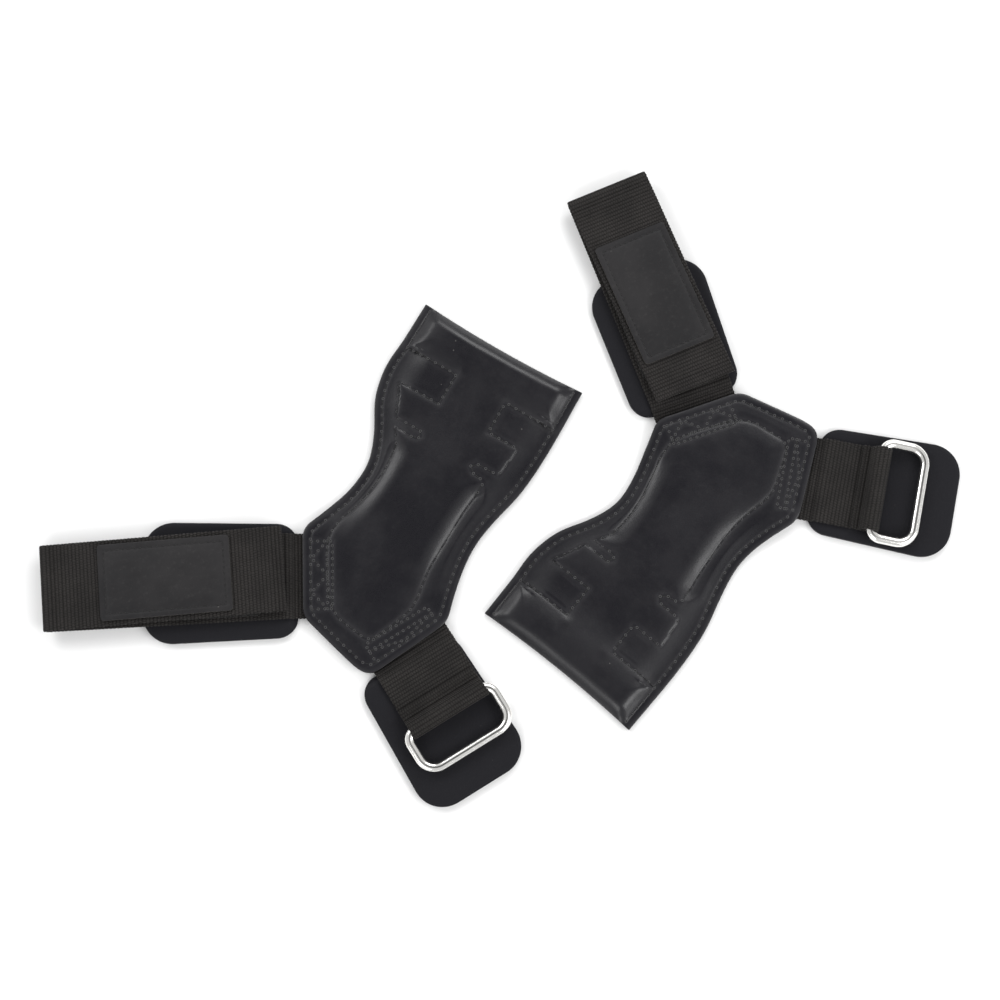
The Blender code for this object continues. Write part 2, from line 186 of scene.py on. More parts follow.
def pointAttribute(piece, name, values):
    attribute = piece.data.attributes.new(name, "FLOAT", "POINT")
    attribute.data.foreach_set("value", np.asarray(values, np.float32))


def flatGrid(columns, rows):
    shape = bmesh.new()
    bmesh.ops.create_grid(shape, x_segments=columns, y_segments=rows, size=1)
    return shape


def thicken(shape):
    # a second side above the first, joined round the rim; back come each vertex's number,
    # and -1 for every vertex below and 1 for every vertex above
    made = bmesh.ops.extrude_face_region(shape, geom=shape.faces[:])["geom"]
    indexed = {vertex: i for i, vertex in enumerate(shape.verts)}
    sign = np.full(len(shape.verts), -1.0)
    sign[[indexed[item] for item in made if isinstance(item, bmesh.types.BMVert)]] = 1.0
    return indexed, sign


def addRounding(piece, width, segments=2):
    rounding = piece.modifiers.new("rounding", "BEVEL")
    rounding.width = width * mm
    rounding.segments = segments
    rounding.limit_method = "ANGLE"
    rounding.angle_limit = math.radians(50)


def cutEdge(piece, steepness=0.35):
    # the faces of the rim take the second material
    for face in piece.data.polygons:
        if abs(face.normal.z) < steepness:
            face.material_index = 1


# shader groups

def addNode(tree, kind, settings=None, inputs=None):
    item = tree.nodes.new(kind)
    for key, value in (settings or {}).items():
        setattr(item, key, value)
    for key, value in (inputs or {}).items():
        if isinstance(value, bpy.types.NodeSocket):
            tree.links.new(value, item.inputs[key])
        else:
            item.inputs[key].default_value = value
    return item


def maths(tree, operation, *values):
    item = addNode(tree, "ShaderNodeMath", {"operation": operation})
    for index, value in enumerate(values):
        if isinstance(value, bpy.types.NodeSocket):
            tree.links.new(value, item.inputs[index])
        else:
            item.inputs[index].default_value = value
    return item.outputs[0]


def rangeOf(tree, value, low, high, toLow=0.0, toHigh=1.0):
    item = addNode(tree, "ShaderNodeMapRange", {"interpolation_type": "SMOOTHSTEP"},
                   {"Value": value, "From Min": low, "From Max": high, "To Min": toLow, "To Max": toHigh})
    return item.outputs["Result"]


def rippled(tree, value):
    # 0 at each whole number and 1 halfway between them
    wave = maths(tree, "SINE", maths(tree, "MULTIPLY", value, math.pi))
    return maths(tree, "ABSOLUTE", wave)


def newGroup(name, inputs, outputs):
    group = bpy.data.node_groups.new(name, "ShaderNodeTree")
    for label, kind, value in inputs:
        socket = group.interface.new_socket(label, in_out="INPUT", socket_type=kind)
        if value is not None:
            socket.default_value = value
    for label in outputs:
        group.interface.new_socket(label, in_out="OUTPUT", socket_type="NodeSocketFloat")
    start = group.nodes.new("NodeGroupInput")
    end = group.nodes.new("NodeGroupOutput")
    return group, start.outputs, end.inputs


def leatherGrainGroup():
    # pebbled cells with fine pores, and slow patches of wax
    group, given, out = newGroup("leatherGrain", [("Vector", "NodeSocketVector", None),
                                                  ("Cells", "NodeSocketFloat", 900.0),
                                                  ("Patches", "NodeSocketFloat", 28.0)],
                                 ["Height", "Patch", "Pore"])
    warp = addNode(group, "ShaderNodeTexNoise", None,
                   {"Vector": given["Vector"], "Scale": 160.0, "Detail": 3.0})
    cells = addNode(group, "ShaderNodeTexVoronoi", {"feature": "SMOOTH_F1"},
                    {"Vector": given["Vector"], "Scale": given["Cells"], "Smoothness": 0.4})
    pores = addNode(group, "ShaderNodeTexNoise", None,
                    {"Vector": given["Vector"], "Scale": 2600.0, "Detail": 2.0})
    patches = addNode(group, "ShaderNodeTexNoise", None,
                      {"Vector": given["Vector"], "Scale": given["Patches"], "Detail": 5.0,
                       "Roughness": 0.6})
    pebble = maths(group, "MULTIPLY", cells.outputs["Distance"], 0.55)
    soft = maths(group, "MULTIPLY", warp.outputs["Fac"], 0.8)
    fine = maths(group, "MULTIPLY", pores.outputs["Fac"], 0.35)
    height = maths(group, "ADD", maths(group, "SUBTRACT", soft, pebble), fine)
    group.links.new(height, out["Height"])
    group.links.new(rangeOf(group, patches.outputs["Fac"], 0.35, 0.68), out["Patch"])
    group.links.new(rangeOf(group, pores.outputs["Fac"], 0.35, 0.65), out["Pore"])
    return group


def weaveGroup():
    # yarns that lie across the strap in ribs, each rib half a yarn along from the last
    group, given, out = newGroup("weave", [("Vector", "NodeSocketVector", None),
                                           ("Rib", "NodeSocketFloat", 0.0022),
                                           ("Yarn", "NodeSocketFloat", 0.0016)],
                                 ["Height", "Shade", "Fuzz"])
    parts = addNode(group, "ShaderNodeSeparateXYZ", None, {"Vector": given["Vector"]})
    along = maths(group, "DIVIDE", parts.outputs["X"], given["Rib"])
    across = maths(group, "DIVIDE", parts.outputs["Y"], given["Yarn"])
    half = maths(group, "MULTIPLY", maths(group, "FLOOR", along), 0.36)
    wander = addNode(group, "ShaderNodeTexNoise", None,
                     {"Vector": given["Vector"], "Scale": 700.0, "Detail": 2.0})
    shifted = maths(group, "ADD", maths(group, "ADD", across, half),
                    maths(group, "MULTIPLY", wander.outputs["Fac"], 0.5))
    rib = rippled(group, along)
    yarn = rippled(group, shifted)
    strands = addNode(group, "ShaderNodeTexNoise", None,
                      {"Vector": addNode(group, "ShaderNodeMapping", None,
                                         {"Vector": given["Vector"], "Scale": (5200.0, 1300.0, 1.0)}
                                         ).outputs["Vector"], "Scale": 1.0, "Detail": 2.0})
    # the yarns' relief; given out as Shade, it also paints shade into the gaps between the yarns and ribs
    both = maths(group, "MULTIPLY", maths(group, "POWER", rib, 0.6), maths(group, "POWER", yarn, 0.5))
    height = maths(group, "ADD", both, maths(group, "MULTIPLY", strands.outputs["Fac"], 0.3))
    group.links.new(height, out["Height"])
    group.links.new(both, out["Shade"])
    group.links.new(rangeOf(group, strands.outputs["Fac"], 0.4, 0.7), out["Fuzz"])
    return group


def knitGroup():
    # the fine jersey face of neoprene, in columns of small loops
    group, given, out = newGroup("knit", [("Vector", "NodeSocketVector", None),
                                          ("Stitches", "NodeSocketFloat", 1500.0)],
                                 ["Height", "Lint"])
    grown = addNode(group, "ShaderNodeVectorMath", {"operation": "SCALE"},
                    {"Vector": given["Vector"], "Scale": given["Stitches"]})
    parts = addNode(group, "ShaderNodeSeparateXYZ", None, {"Vector": grown.outputs["Vector"]})
    column = rippled(group, parts.outputs["X"])
    rowShift = maths(group, "MULTIPLY", maths(group, "FLOOR", parts.outputs["X"]), 0.5)
    row = rippled(group, maths(group, "ADD", parts.outputs["Y"], rowShift))
    fibres = addNode(group, "ShaderNodeTexNoise", None,
                     {"Vector": given["Vector"], "Scale": 3000.0, "Detail": 3.0})
    height = maths(group, "ADD", maths(group, "MULTIPLY", column, row),
                   maths(group, "MULTIPLY", fibres.outputs["Fac"], 0.8))
    group.links.new(height, out["Height"])
    group.links.new(rangeOf(group, fibres.outputs["Fac"], 0.62, 0.78), out["Lint"])
    return group


def dustGroup():
    # a few small specks, and a faint film of them in patches
    group, given, out = newGroup("dust", [("Vector", "NodeSocketVector", None),
                                          ("Specks", "NodeSocketFloat", 120.0),
                                          ("Size", "NodeSocketFloat", 0.05)], ["Speck", "Film"])
    cells = addNode(group, "ShaderNodeTexVoronoi", None,
                    {"Vector": given["Vector"], "Scale": given["Specks"], "Randomness": 1.0})
    some = addNode(group, "ShaderNodeTexNoise", None,
                   {"Vector": given["Vector"], "Scale": 37.0, "Detail": 2.0})
    near = maths(group, "LESS_THAN", cells.outputs["Distance"], given["Size"])
    kept = maths(group, "GREATER_THAN", some.outputs["Fac"], 0.55)
    film = addNode(group, "ShaderNodeTexNoise", None,
                   {"Vector": given["Vector"], "Scale": 420.0, "Detail": 6.0, "Roughness": 0.7})
    group.links.new(maths(group, "MULTIPLY", near, kept), out["Speck"])
    group.links.new(rangeOf(group, film.outputs["Fac"], 0.5, 0.8), out["Film"])
    return group


groups = {"grain": leatherGrainGroup(), "weave": weaveGroup(), "knit": knitGroup(), "dust": dustGroup()}
print("shader groups made")


# materials

def newMaterial(name, fixed):
    material = bpy.data.materials.new(name)
    material.use_nodes = True
    tree = material.node_tree
    shader = tree.nodes["Principled BSDF"]
    for socket, value in fixed.items():
        shader.inputs[socket].default_value = value
    return material, tree, shader


def useGroup(tree, name, inputs):
    return addNode(tree, "ShaderNodeGroup", {"node_tree": groups[name]}, inputs).outputs


def mixColour(tree, share, first, second):
    item = addNode(tree, "ShaderNodeMix", {"data_type": "RGBA"})
    for index, value in ((0, share), (6, first), (7, second)):
        if isinstance(value, bpy.types.NodeSocket):
            tree.links.new(value, item.inputs[index])
        elif index:
            item.inputs[index].default_value = (*value, 1.0)
        else:
            item.inputs[index].default_value = value
    return item.outputs[2]


def addBump(tree, shader, height, strength, depth):
    bump = addNode(tree, "ShaderNodeBump", None,
                   {"Height": height, "Strength": strength, "Distance": depth * mm})
    tree.links.new(bump.outputs["Normal"], shader.inputs["Normal"])


def leatherMaterial(name, look):
    material, tree, shader = newMaterial(name, {"Specular IOR Level": look["specular"],
                                                "Coat Roughness": 0.35})
    place = addNode(tree, "ShaderNodeTexCoord").outputs["Object"]
    grain = useGroup(tree, "grain", {"Vector": place, "Cells": look["cells"], "Patches": look["patches"]})
    dust = useGroup(tree, "dust", {"Vector": place, "Specks": 110.0, "Size": 0.045})
    # the attribute paints the leather lighter along its edge and seams: partly rubbed wear, partly painted
    # highlight
    rubbedAndHighlitMask = addNode(tree, "ShaderNodeAttribute", {"attribute_name": "rubbedAndHighlit"}).outputs["Fac"]
    colour = mixColour(tree, grain["Patch"], look["dark"], look["light"])
    colour = mixColour(tree, maths(tree, "MULTIPLY", rubbedAndHighlitMask, 0.7), colour, look["rubbedAndHighlit"])
    colour = mixColour(tree, maths(tree, "MULTIPLY", dust["Film"], look["film"]), colour, look["dustColour"])
    colour = mixColour(tree, maths(tree, "MULTIPLY", dust["Speck"], 0.55), colour, look["dustColour"])
    tree.links.new(colour, shader.inputs["Base Color"])
    low, high = look["roughness"]
    rough = rangeOf(tree, grain["Patch"], 0.0, 1.0, low, high)
    rough = maths(tree, "ADD", rough, maths(tree, "MULTIPLY", grain["Pore"], 0.06))
    rough = maths(tree, "ADD", rough, maths(tree, "MULTIPLY", rubbedAndHighlitMask, 0.12))
    tree.links.new(rough, shader.inputs["Roughness"])
    wax = rangeOf(tree, grain["Patch"], 0.0, 1.0, look["wax"], 0.0)
    tree.links.new(wax, shader.inputs["Coat Weight"])
    addBump(tree, shader, grain["Height"], look["bump"], 0.16)
    return material


def edgeMaterial(name, look):
    # the cut edge of leather: compressed layers under paint, or left raw
    material, tree, shader = newMaterial(name, {"Specular IOR Level": 0.3})
    place = addNode(tree, "ShaderNodeTexCoord").outputs["Object"]
    squeezed = addNode(tree, "ShaderNodeMapping", None,
                       {"Vector": place, "Scale": (400.0, 400.0, 5000.0)})
    layers = addNode(tree, "ShaderNodeTexNoise", None,
                     {"Vector": squeezed.outputs["Vector"], "Scale": 1.0, "Detail": 4.0})
    dust = useGroup(tree, "dust", {"Vector": place, "Specks": 300.0, "Size": 0.06})
    colour = mixColour(tree, layers.outputs["Fac"], look["dark"], look["light"])
    colour = mixColour(tree, maths(tree, "MULTIPLY", dust["Film"], 0.3), colour, look["light"])
    tree.links.new(colour, shader.inputs["Base Color"])
    rough = rangeOf(tree, layers.outputs["Fac"], 0.3, 0.7, look["roughness"], look["roughness"] + 0.2)
    tree.links.new(rough, shader.inputs["Roughness"])
    addBump(tree, shader, layers.outputs["Fac"], 0.5, 0.15)
    return material


def webbingMaterial(name, look):
    material, tree, shader = newMaterial(name, {"Specular IOR Level": 0.2, "Sheen Weight": 0.04,
                                                "Sheen Roughness": 0.4})
    flat = addNode(tree, "ShaderNodeUVMap", {"uv_map": "flat"}).outputs["UV"]
    place = addNode(tree, "ShaderNodeTexCoord").outputs["Object"]
    weave = useGroup(tree, "weave", {"Vector": flat, "Rib": look["rib"] * mm, "Yarn": look["yarn"] * mm})
    dust = useGroup(tree, "dust", {"Vector": place, "Specks": 260.0, "Size": 0.05})
    slow = addNode(tree, "ShaderNodeTexNoise", None, {"Vector": place, "Scale": 60.0, "Detail": 3.0})
    # painted shade: the colour goes near black in the gaps between the yarns and ribs, where the weave lies
    # in shade
    colour = mixColour(tree, weave["Shade"], look["gap"], look["yarnColour"])
    colour = mixColour(tree, maths(tree, "MULTIPLY", weave["Fuzz"], 0.45), colour, look["fuzz"])
    colour = mixColour(tree, rangeOf(tree, slow.outputs["Fac"], 0.3, 0.7, 0.0, 0.35), colour, look["gap"])
    colour = mixColour(tree, maths(tree, "MULTIPLY", dust["Speck"], 0.5), colour, look["fuzz"])
    tree.links.new(colour, shader.inputs["Base Color"])
    tree.links.new(rangeOf(tree, weave["Shade"], 0.0, 1.0, 0.95, 0.62), shader.inputs["Roughness"])
    addBump(tree, shader, weave["Height"], 0.9, 0.32)
    return material


def neopreneMaterial(name, look):
    material, tree, shader = newMaterial(name, {"Specular IOR Level": 0.12, "Sheen Weight": 0.06,
                                                "Sheen Roughness": 0.6})
    place = addNode(tree, "ShaderNodeTexCoord").outputs["Object"]
    knit = useGroup(tree, "knit", {"Vector": place, "Stitches": 1300.0})
    dust = useGroup(tree, "dust", {"Vector": place, "Specks": 150.0, "Size": 0.035})
    colour = mixColour(tree, knit["Lint"], look["dark"], look["light"])
    colour = mixColour(tree, maths(tree, "MULTIPLY", dust["Film"], 0.4), colour, look["light"])
    colour = mixColour(tree, maths(tree, "MULTIPLY", dust["Speck"], 0.4), colour, look["lint"])
    tree.links.new(colour, shader.inputs["Base Color"])
    tree.links.new(rangeOf(tree, knit["Height"], 0.2, 1.4, 0.98, 0.84), shader.inputs["Roughness"])
    addBump(tree, shader, knit["Height"], 0.45, 0.12)
    return material


def tapeMaterial(name, look):
    material, tree, shader = newMaterial(name, {"Specular IOR Level": 0.2, "Sheen Weight": 0.1})
    place = addNode(tree, "ShaderNodeTexCoord").outputs["Object"]
    pile = addNode(tree, "ShaderNodeTexNoise", None,
                   {"Vector": place, "Scale": look["pile"], "Detail": 4.0, "Roughness": 0.7})
    knots = addNode(tree, "ShaderNodeTexVoronoi", None, {"Vector": place, "Scale": look["pile"] * 0.6})
    colour = mixColour(tree, rangeOf(tree, pile.outputs["Fac"], 0.35, 0.7), look["dark"], look["light"])
    tree.links.new(colour, shader.inputs["Base Color"])
    tree.links.new(rangeOf(tree, pile.outputs["Fac"], 0.3, 0.7, 0.98, 0.8), shader.inputs["Roughness"])
    sunk = maths(tree, "MULTIPLY", knots.outputs["Distance"], 0.5)
    height = maths(tree, "SUBTRACT", pile.outputs["Fac"], sunk)
    addBump(tree, shader, height, 0.8, 0.3)
    return material


def threadMaterial(name, look):
    material, tree, shader = newMaterial(name, {"Specular IOR Level": 0.4, "Sheen Weight": 0.1})
    place = addNode(tree, "ShaderNodeTexCoord").outputs["Object"]
    twist = addNode(tree, "ShaderNodeTexWave", {"bands_direction": "DIAGONAL"},
                    {"Vector": place, "Scale": 900.0, "Distortion": 3.0, "Detail": 2.0})
    colour = mixColour(tree, twist.outputs["Fac"], look["dark"], look["light"])
    tree.links.new(colour, shader.inputs["Base Color"])
    tree.links.new(rangeOf(tree, twist.outputs["Fac"], 0.0, 1.0, 0.72, 0.5), shader.inputs["Roughness"])
    addBump(tree, shader, twist.outputs["Fac"], 0.4, 0.08)
    return material


def steelMaterial(name, look):
    material, tree, shader = newMaterial(name, {"Metallic": 1.0})
    place = addNode(tree, "ShaderNodeTexCoord").outputs["Object"]
    drawn = addNode(tree, "ShaderNodeTexNoise", None,
                    {"Vector": place, "Scale": 900.0, "Detail": 4.0, "Roughness": 0.7})
    smudge = addNode(tree, "ShaderNodeTexNoise", None, {"Vector": place, "Scale": 130.0, "Detail": 3.0})
    colour = mixColour(tree, rangeOf(tree, smudge.outputs["Fac"], 0.45, 0.75), look["bright"], look["dull"])
    tree.links.new(colour, shader.inputs["Base Color"])
    rough = rangeOf(tree, drawn.outputs["Fac"], 0.35, 0.7, look["roughness"], look["roughness"] + 0.06)
    rough = maths(tree, "ADD", rough, rangeOf(tree, smudge.outputs["Fac"], 0.5, 0.8, 0.0, 0.08))
    tree.links.new(rough, shader.inputs["Roughness"])
    addBump(tree, shader, drawn.outputs["Fac"], 0.05, 0.05)
    return material


# the rubbed colour is the lighter tone along edges and seams: partly wear, partly painted highlight
palmLook = {"dark": (0.0080, 0.0077, 0.0102), "light": (0.0110, 0.0105, 0.0130),
            "rubbedAndHighlit": (0.020, 0.0195, 0.022),
            "dustColour": (0.11, 0.105, 0.10), "film": 0.04, "roughness": (0.27, 0.35), "wax": 0.05,
            "specular": 0.36, "cells": 820.0, "patches": 26.0, "bump": 0.22}
liningLook = dict(palmLook, roughness=(0.62, 0.78), wax=0.0, specular=0.25, bump=0.4,
                  light=(0.018, 0.0175, 0.018))
patchLook = dict(palmLook, dark=(0.0125, 0.012, 0.013), light=(0.019, 0.018, 0.019), roughness=(0.50, 0.60),
                 wax=0.0, film=0.12, cells=620.0, bump=0.34, specular=0.22)
edgeLook = {"dark": (0.004, 0.004, 0.004), "light": (0.012, 0.011, 0.010), "roughness": 0.5}
rawEdgeLook = {"dark": (0.05, 0.047, 0.044), "light": (0.12, 0.11, 0.10), "roughness": 0.75}
# the gap colour is painted shade between the yarns, and also the darker random tone
webbingLook = {"rib": 2.1, "yarn": 1.45, "gap": (0.0010, 0.0009, 0.0009),
               "yarnColour": (0.0185, 0.0165, 0.0155), "fuzz": (0.052, 0.047, 0.044)}
neopreneLook = {"dark": (0.0095, 0.0094, 0.0118), "light": (0.0155, 0.0154, 0.0178),
                "lint": (0.06, 0.058, 0.055)}
loopLook = {"pile": 1400.0, "dark": (0.006, 0.006, 0.006), "light": (0.03, 0.029, 0.028)}
hookLook = {"pile": 700.0, "dark": (0.005, 0.005, 0.005), "light": (0.022, 0.021, 0.02)}
threadLook = {"dark": (0.008, 0.008, 0.008), "light": (0.026, 0.025, 0.026)}
darkThreadLook = {"dark": (0.002, 0.002, 0.002), "light": (0.008, 0.008, 0.008)}
# the ring round each stitch hole is painted several times lighter than the leather: a painted highlight ring
puckerHighlightLook = {"dark": (0.030, 0.029, 0.031), "light": (0.050, 0.049, 0.052)}
# the needle hole is a near black disc of painted shade
holeShadeLook = {"dark": (0.0015, 0.0015, 0.0015), "light": (0.004, 0.004, 0.004)}
steelLook = {"bright": (0.94, 0.93, 0.905), "dull": (0.86, 0.85, 0.82), "roughness": 0.16}
paints = {
    "palm": leatherMaterial("waxed black leather", palmLook),
    "lining": leatherMaterial("lining leather", liningLook),
    "patch": leatherMaterial("patch leather", patchLook),
    "edge": edgeMaterial("painted leather edge", edgeLook),
    "rawEdge": edgeMaterial("raw leather edge", rawEdgeLook),
    "webbing": webbingMaterial("ribbed webbing", webbingLook),
    "neoprene": neopreneMaterial("neoprene jersey", neopreneLook),
    "loop": tapeMaterial("loop tape", loopLook),
    "hook": tapeMaterial("hook tape", hookLook),
    "thread": threadMaterial("waxed thread", threadLook),
    "darkThread": threadMaterial("black thread", darkThreadLook),
    "puckerHighlight": threadMaterial("painted highlight ring round a stitch", puckerHighlightLook),
    "hole": threadMaterial("painted needle-hole shade", holeShadeLook),
    "steel": steelMaterial("polished steel", steelLook),
}
print("materials made")


# palm leather

palm = {"columns": 124, "rows": 256, "thickness": 1.5, "rounding": 0.3, "outlineStep": 0.7,
        "cornerSoftening": 8, "middle": (5.0, -110.0), "heelReach": 0.8, "endConcave": 1.9,
        "wristCorners": ((-19.4, -192.9), (31.6, -201.1)),
        # how far the waist is bent aside, and where
        "sway": {"left": 0.3, "right": -1.6}, "swayAt": -122.0, "swayReach": 24.0,
        # heights of the upper side, and the spans over which one gives way to the next
        "rimTop": 3.1, "wristRim": 4.9, "wristFade": (-118.0, -150.0), "overTail": 5.2, "tailFade": 14.0,
        "bodyTop": 5.9, "bodyRise": 10.0, "pocketTop": 8.6, "pocketRise": 14.0,
        "pocketFade": (-40.0, -15.0), "pocketEnds": -25.0, "pocketHalf": 49.0, "pocketEndRise": 14.0,
        "endRise": 8.0, "halfWidth": 52.5,
        # the flap's seams are shallow dips, and the islands beside them are nearly level
        "islandFill": (0.4, 0.9), "flapFade": (-86.0, -74.0), "flapSeam": 0.84, "flapSeamEdge": (5.0, 7.0),
        "islandRise": (8.0, 4.0), "islandEdgeRise": (8.0, 10.0),
        "groove": 0.3, "flapGroove": 0.16, "grooveWidth": 0.8, "edgeGroove": 0.25, "edgeDrop": 0.3,
        "wave": 0.3, "crease": 0.07,
        "puckers": ((-13.0, -25.5, 3.5, 0.5), (15.0, -25.5, 3.5, 0.5), (-45.0, -22.0, 5.0, 0.6),
                    (44.0, -22.5, 5.0, 0.6), (46.5, -156.0, 4.0, 0.5), (-38.0, -149.0, 4.0, 0.3)),
        "edgeSeam": 4.5, "stitch": 4.9, "boxStitch": 3.7, "flexHalf": 9.0}

# one side's seam round the padding, from the flap's end down to the wrist, as (u, v)
strapSideSeam = [(-49, 4), (-49, -28), (-15.5, -28), (-15.5, -48), (-42, -48), (-36.5, -58), (-33, -66.5),
                 (-16.5, -67), (-14.5, -69.7), (-16.5, -72.3), (-30, -72.3), (-25, -80), (-23.6, -90),
                 (-23.2, -100), (-24.2, -112), (-27, -125), (-30, -135), (-30, -147), (-20, -165),
                 (-8, -180), (0, -184)]
ringSideSeam = [(49, 4), (49, -28), (17.5, -28), (17.5, -48), (37, -48), (36, -60), (35, -66.8),
                (21, -67.2), (18.8, -70), (21, -72.8), (30, -74), (30, -80), (28.5, -95), (28, -110),
                (28, -130), (30, -145), (31, -150), (31, -160), (22, -183), (18, -186), (0, -184)]
strapBox = {"x": (-9.0, -21.0), "innerRow": -18.0, "half": 19.5, "zigzag": 4}
ringBox = {"x": (-9.5, -19.0), "innerRow": -14.5, "half": 20.5, "zigzag": 2}


def readOutline(side, place):
    # the lining's outline from the flap's end down the long strap's side, round the wrist and back up,
    # its corners softened as cut leather is
    knots = set()
    for node in (side + "_flap_lining", side + "_palm_lining"):
        knots |= {(round(float(u), 1), round(float(v), 1)) for u, v, z in nodePoints(node, place)}
    middle = palm["middle"]
    knots = sorted(knots, key=lambda knot: (math.atan2(knot[1] - middle[1], knot[0] - middle[0])
                                            - math.pi / 2) % (2 * math.pi))
    knots = [knot for i, knot in enumerate(knots) if i == 0 or math.dist(knot, knots[i - 1]) > 1]
    line = softLine(knots, palm["outlineStep"])
    soft = []
    for i in range(len(line)):
        reach = min(palm["cornerSoftening"], i, len(line) - 1 - i)
        soft.append(line[i - reach:i + reach + 1].mean(axis=0))
    soft = swayed(soft, palm["sway"][side])
    first, second = (int(np.argmin(np.linalg.norm(soft - corner, axis=1)))
                     for corner in palm["wristCorners"])
    return {"around": soft, "left": soft[:first + 1], "heel": soft[first:second + 1],
            "right": soft[:second - 1:-1]}


def swayed(points, sway):
    # the leather's waist bent a little to one side, as it was sewn
    points = np.array(points, float)
    points[:, 0] += sway * np.exp(-((points[:, 1] - palm["swayAt"]) / palm["swayReach"]) ** 2)
    return points


def alongLine(line, share, byHeight=True):
    # the spot at each share of the line's drop, or of its length
    if byHeight:
        at = line[-1, 1] * share
        return np.stack([np.interp(-at, -line[:, 1], line[:, 0]), at], axis=1)
    lengths = np.concatenate([[0], np.cumsum(np.linalg.norm(np.diff(line, axis=0), axis=1))])
    return np.stack([np.interp(share * lengths[-1], lengths, line[:, k]) for k in (0, 1)], axis=1)


def spread(outline, s, t):
    # s runs -1 to 1 across the palm and t from 0 at the flap's end to 1 at the heel
    share = ((s + 1) / 2)[:, None]
    left, right = alongLine(outline["left"], t), alongLine(outline["right"], t)
    points = left + (right - left) * share
    heel = alongLine(outline["heel"], share[:, 0], False)
    ends = outline["heel"][0] + (outline["heel"][-1] - outline["heel"][0]) * share
    nearHeel = np.clip((t - palm["heelReach"]) / (1 - palm["heelReach"]), 0, 1) ** 2
    points += (heel - ends) * nearHeel[:, None]
    half = outline["right"][0, 0]
    points[:, 1] -= palm["endConcave"] * (1 - (points[:, 0] / half) ** 2) * np.exp(points[:, 1] / 12)
    return points


def readGrip(side):
    place = gripPlace(side)
    straps = {"strap": hingePlace(side + "_strap_fold_up", -1),
              "ring": hingePlace(side + "_ring_strap_fold_up", -1)}
    outline = readOutline(side, place)
    grip = {"place": place, "straps": straps, "outline": outline}
    grip["toStrap"] = {key: np.array(strap.inverted() @ place) for key, strap in straps.items()}
    grip["fromStrap"] = {key: np.array(place.inverted() @ strap) for key, strap in straps.items()}
    grip["tails"] = {"strap": nodeBox(side + "_strap_tail", straps["strap"]),
                     "ring": nodeBox(side + "_ring_strap_tail", straps["ring"])}
    around = outline["around"]
    tangent = np.gradient(around, axis=0)
    inward = np.stack([-tangent[:, 1], tangent[:, 0]], axis=1)
    inward /= np.linalg.norm(inward, axis=1)[:, None]
    edge = around + inward * palm["edgeSeam"]
    grip["edgeSeam"] = edge[4:-4]
    sway = palm["sway"][side]
    grip["seams"] = [swayed(softLine(line[1:], 2.0, 30), sway) for line in (strapSideSeam, ringSideSeam)]
    sides = [swayed(softLine(line, 2.0, 30), sway) for line in (strapSideSeam, ringSideSeam)]
    grip["padding"] = np.concatenate([sides[0], sides[1][::-1]])
    grip["boxes"] = [boxLine(grip, "strap", strapBox), boxLine(grip, "ring", ringBox)]
    return grip


def boxLine(grip, key, look):
    # a stitched box with a row inside it and a zigzag, in the strap's own frame, brought to the palm's
    (outer, inner), half, row = look["x"], look["half"], look["innerRow"]
    middle = float(grip["tails"][key][0][1] + grip["tails"][key][1][1]) / 2
    frameLine = [(outer, -half), (inner, -half), (inner, half), (outer, half)]
    turns = look["zigzag"]
    zigzag = [(outer if i % 2 else row, -half + 2 * half * i / turns) for i in range(turns + 1)]
    lines = []
    for line in (frameLine, [(row, -half), (row, half)], zigzag):
        points = np.array([(x * mm, (y + middle) * mm, 0, 1) for x, y in line])
        lines.append((points @ grip["fromStrap"][key].T)[:, :2] / mm)
    return lines


def tailCover(grip, points):
    # 1 where a strap's tail lies under the leather, fading out round it
    cover = np.zeros(len(points))
    flat = np.concatenate([points * mm, np.zeros((len(points), 1)), np.ones((len(points), 1))], axis=1)
    for key, (low, high) in grip["tails"].items():
        local = (flat @ grip["toStrap"][key].T)[:, :2] / mm
        beyond = np.maximum(low[:2] - local, local - high[:2])
        away = np.linalg.norm(np.maximum(beyond, 0), axis=1)
        cover = np.maximum(cover, 1 - smoothStep(away / palm["tailFade"]))
    return cover


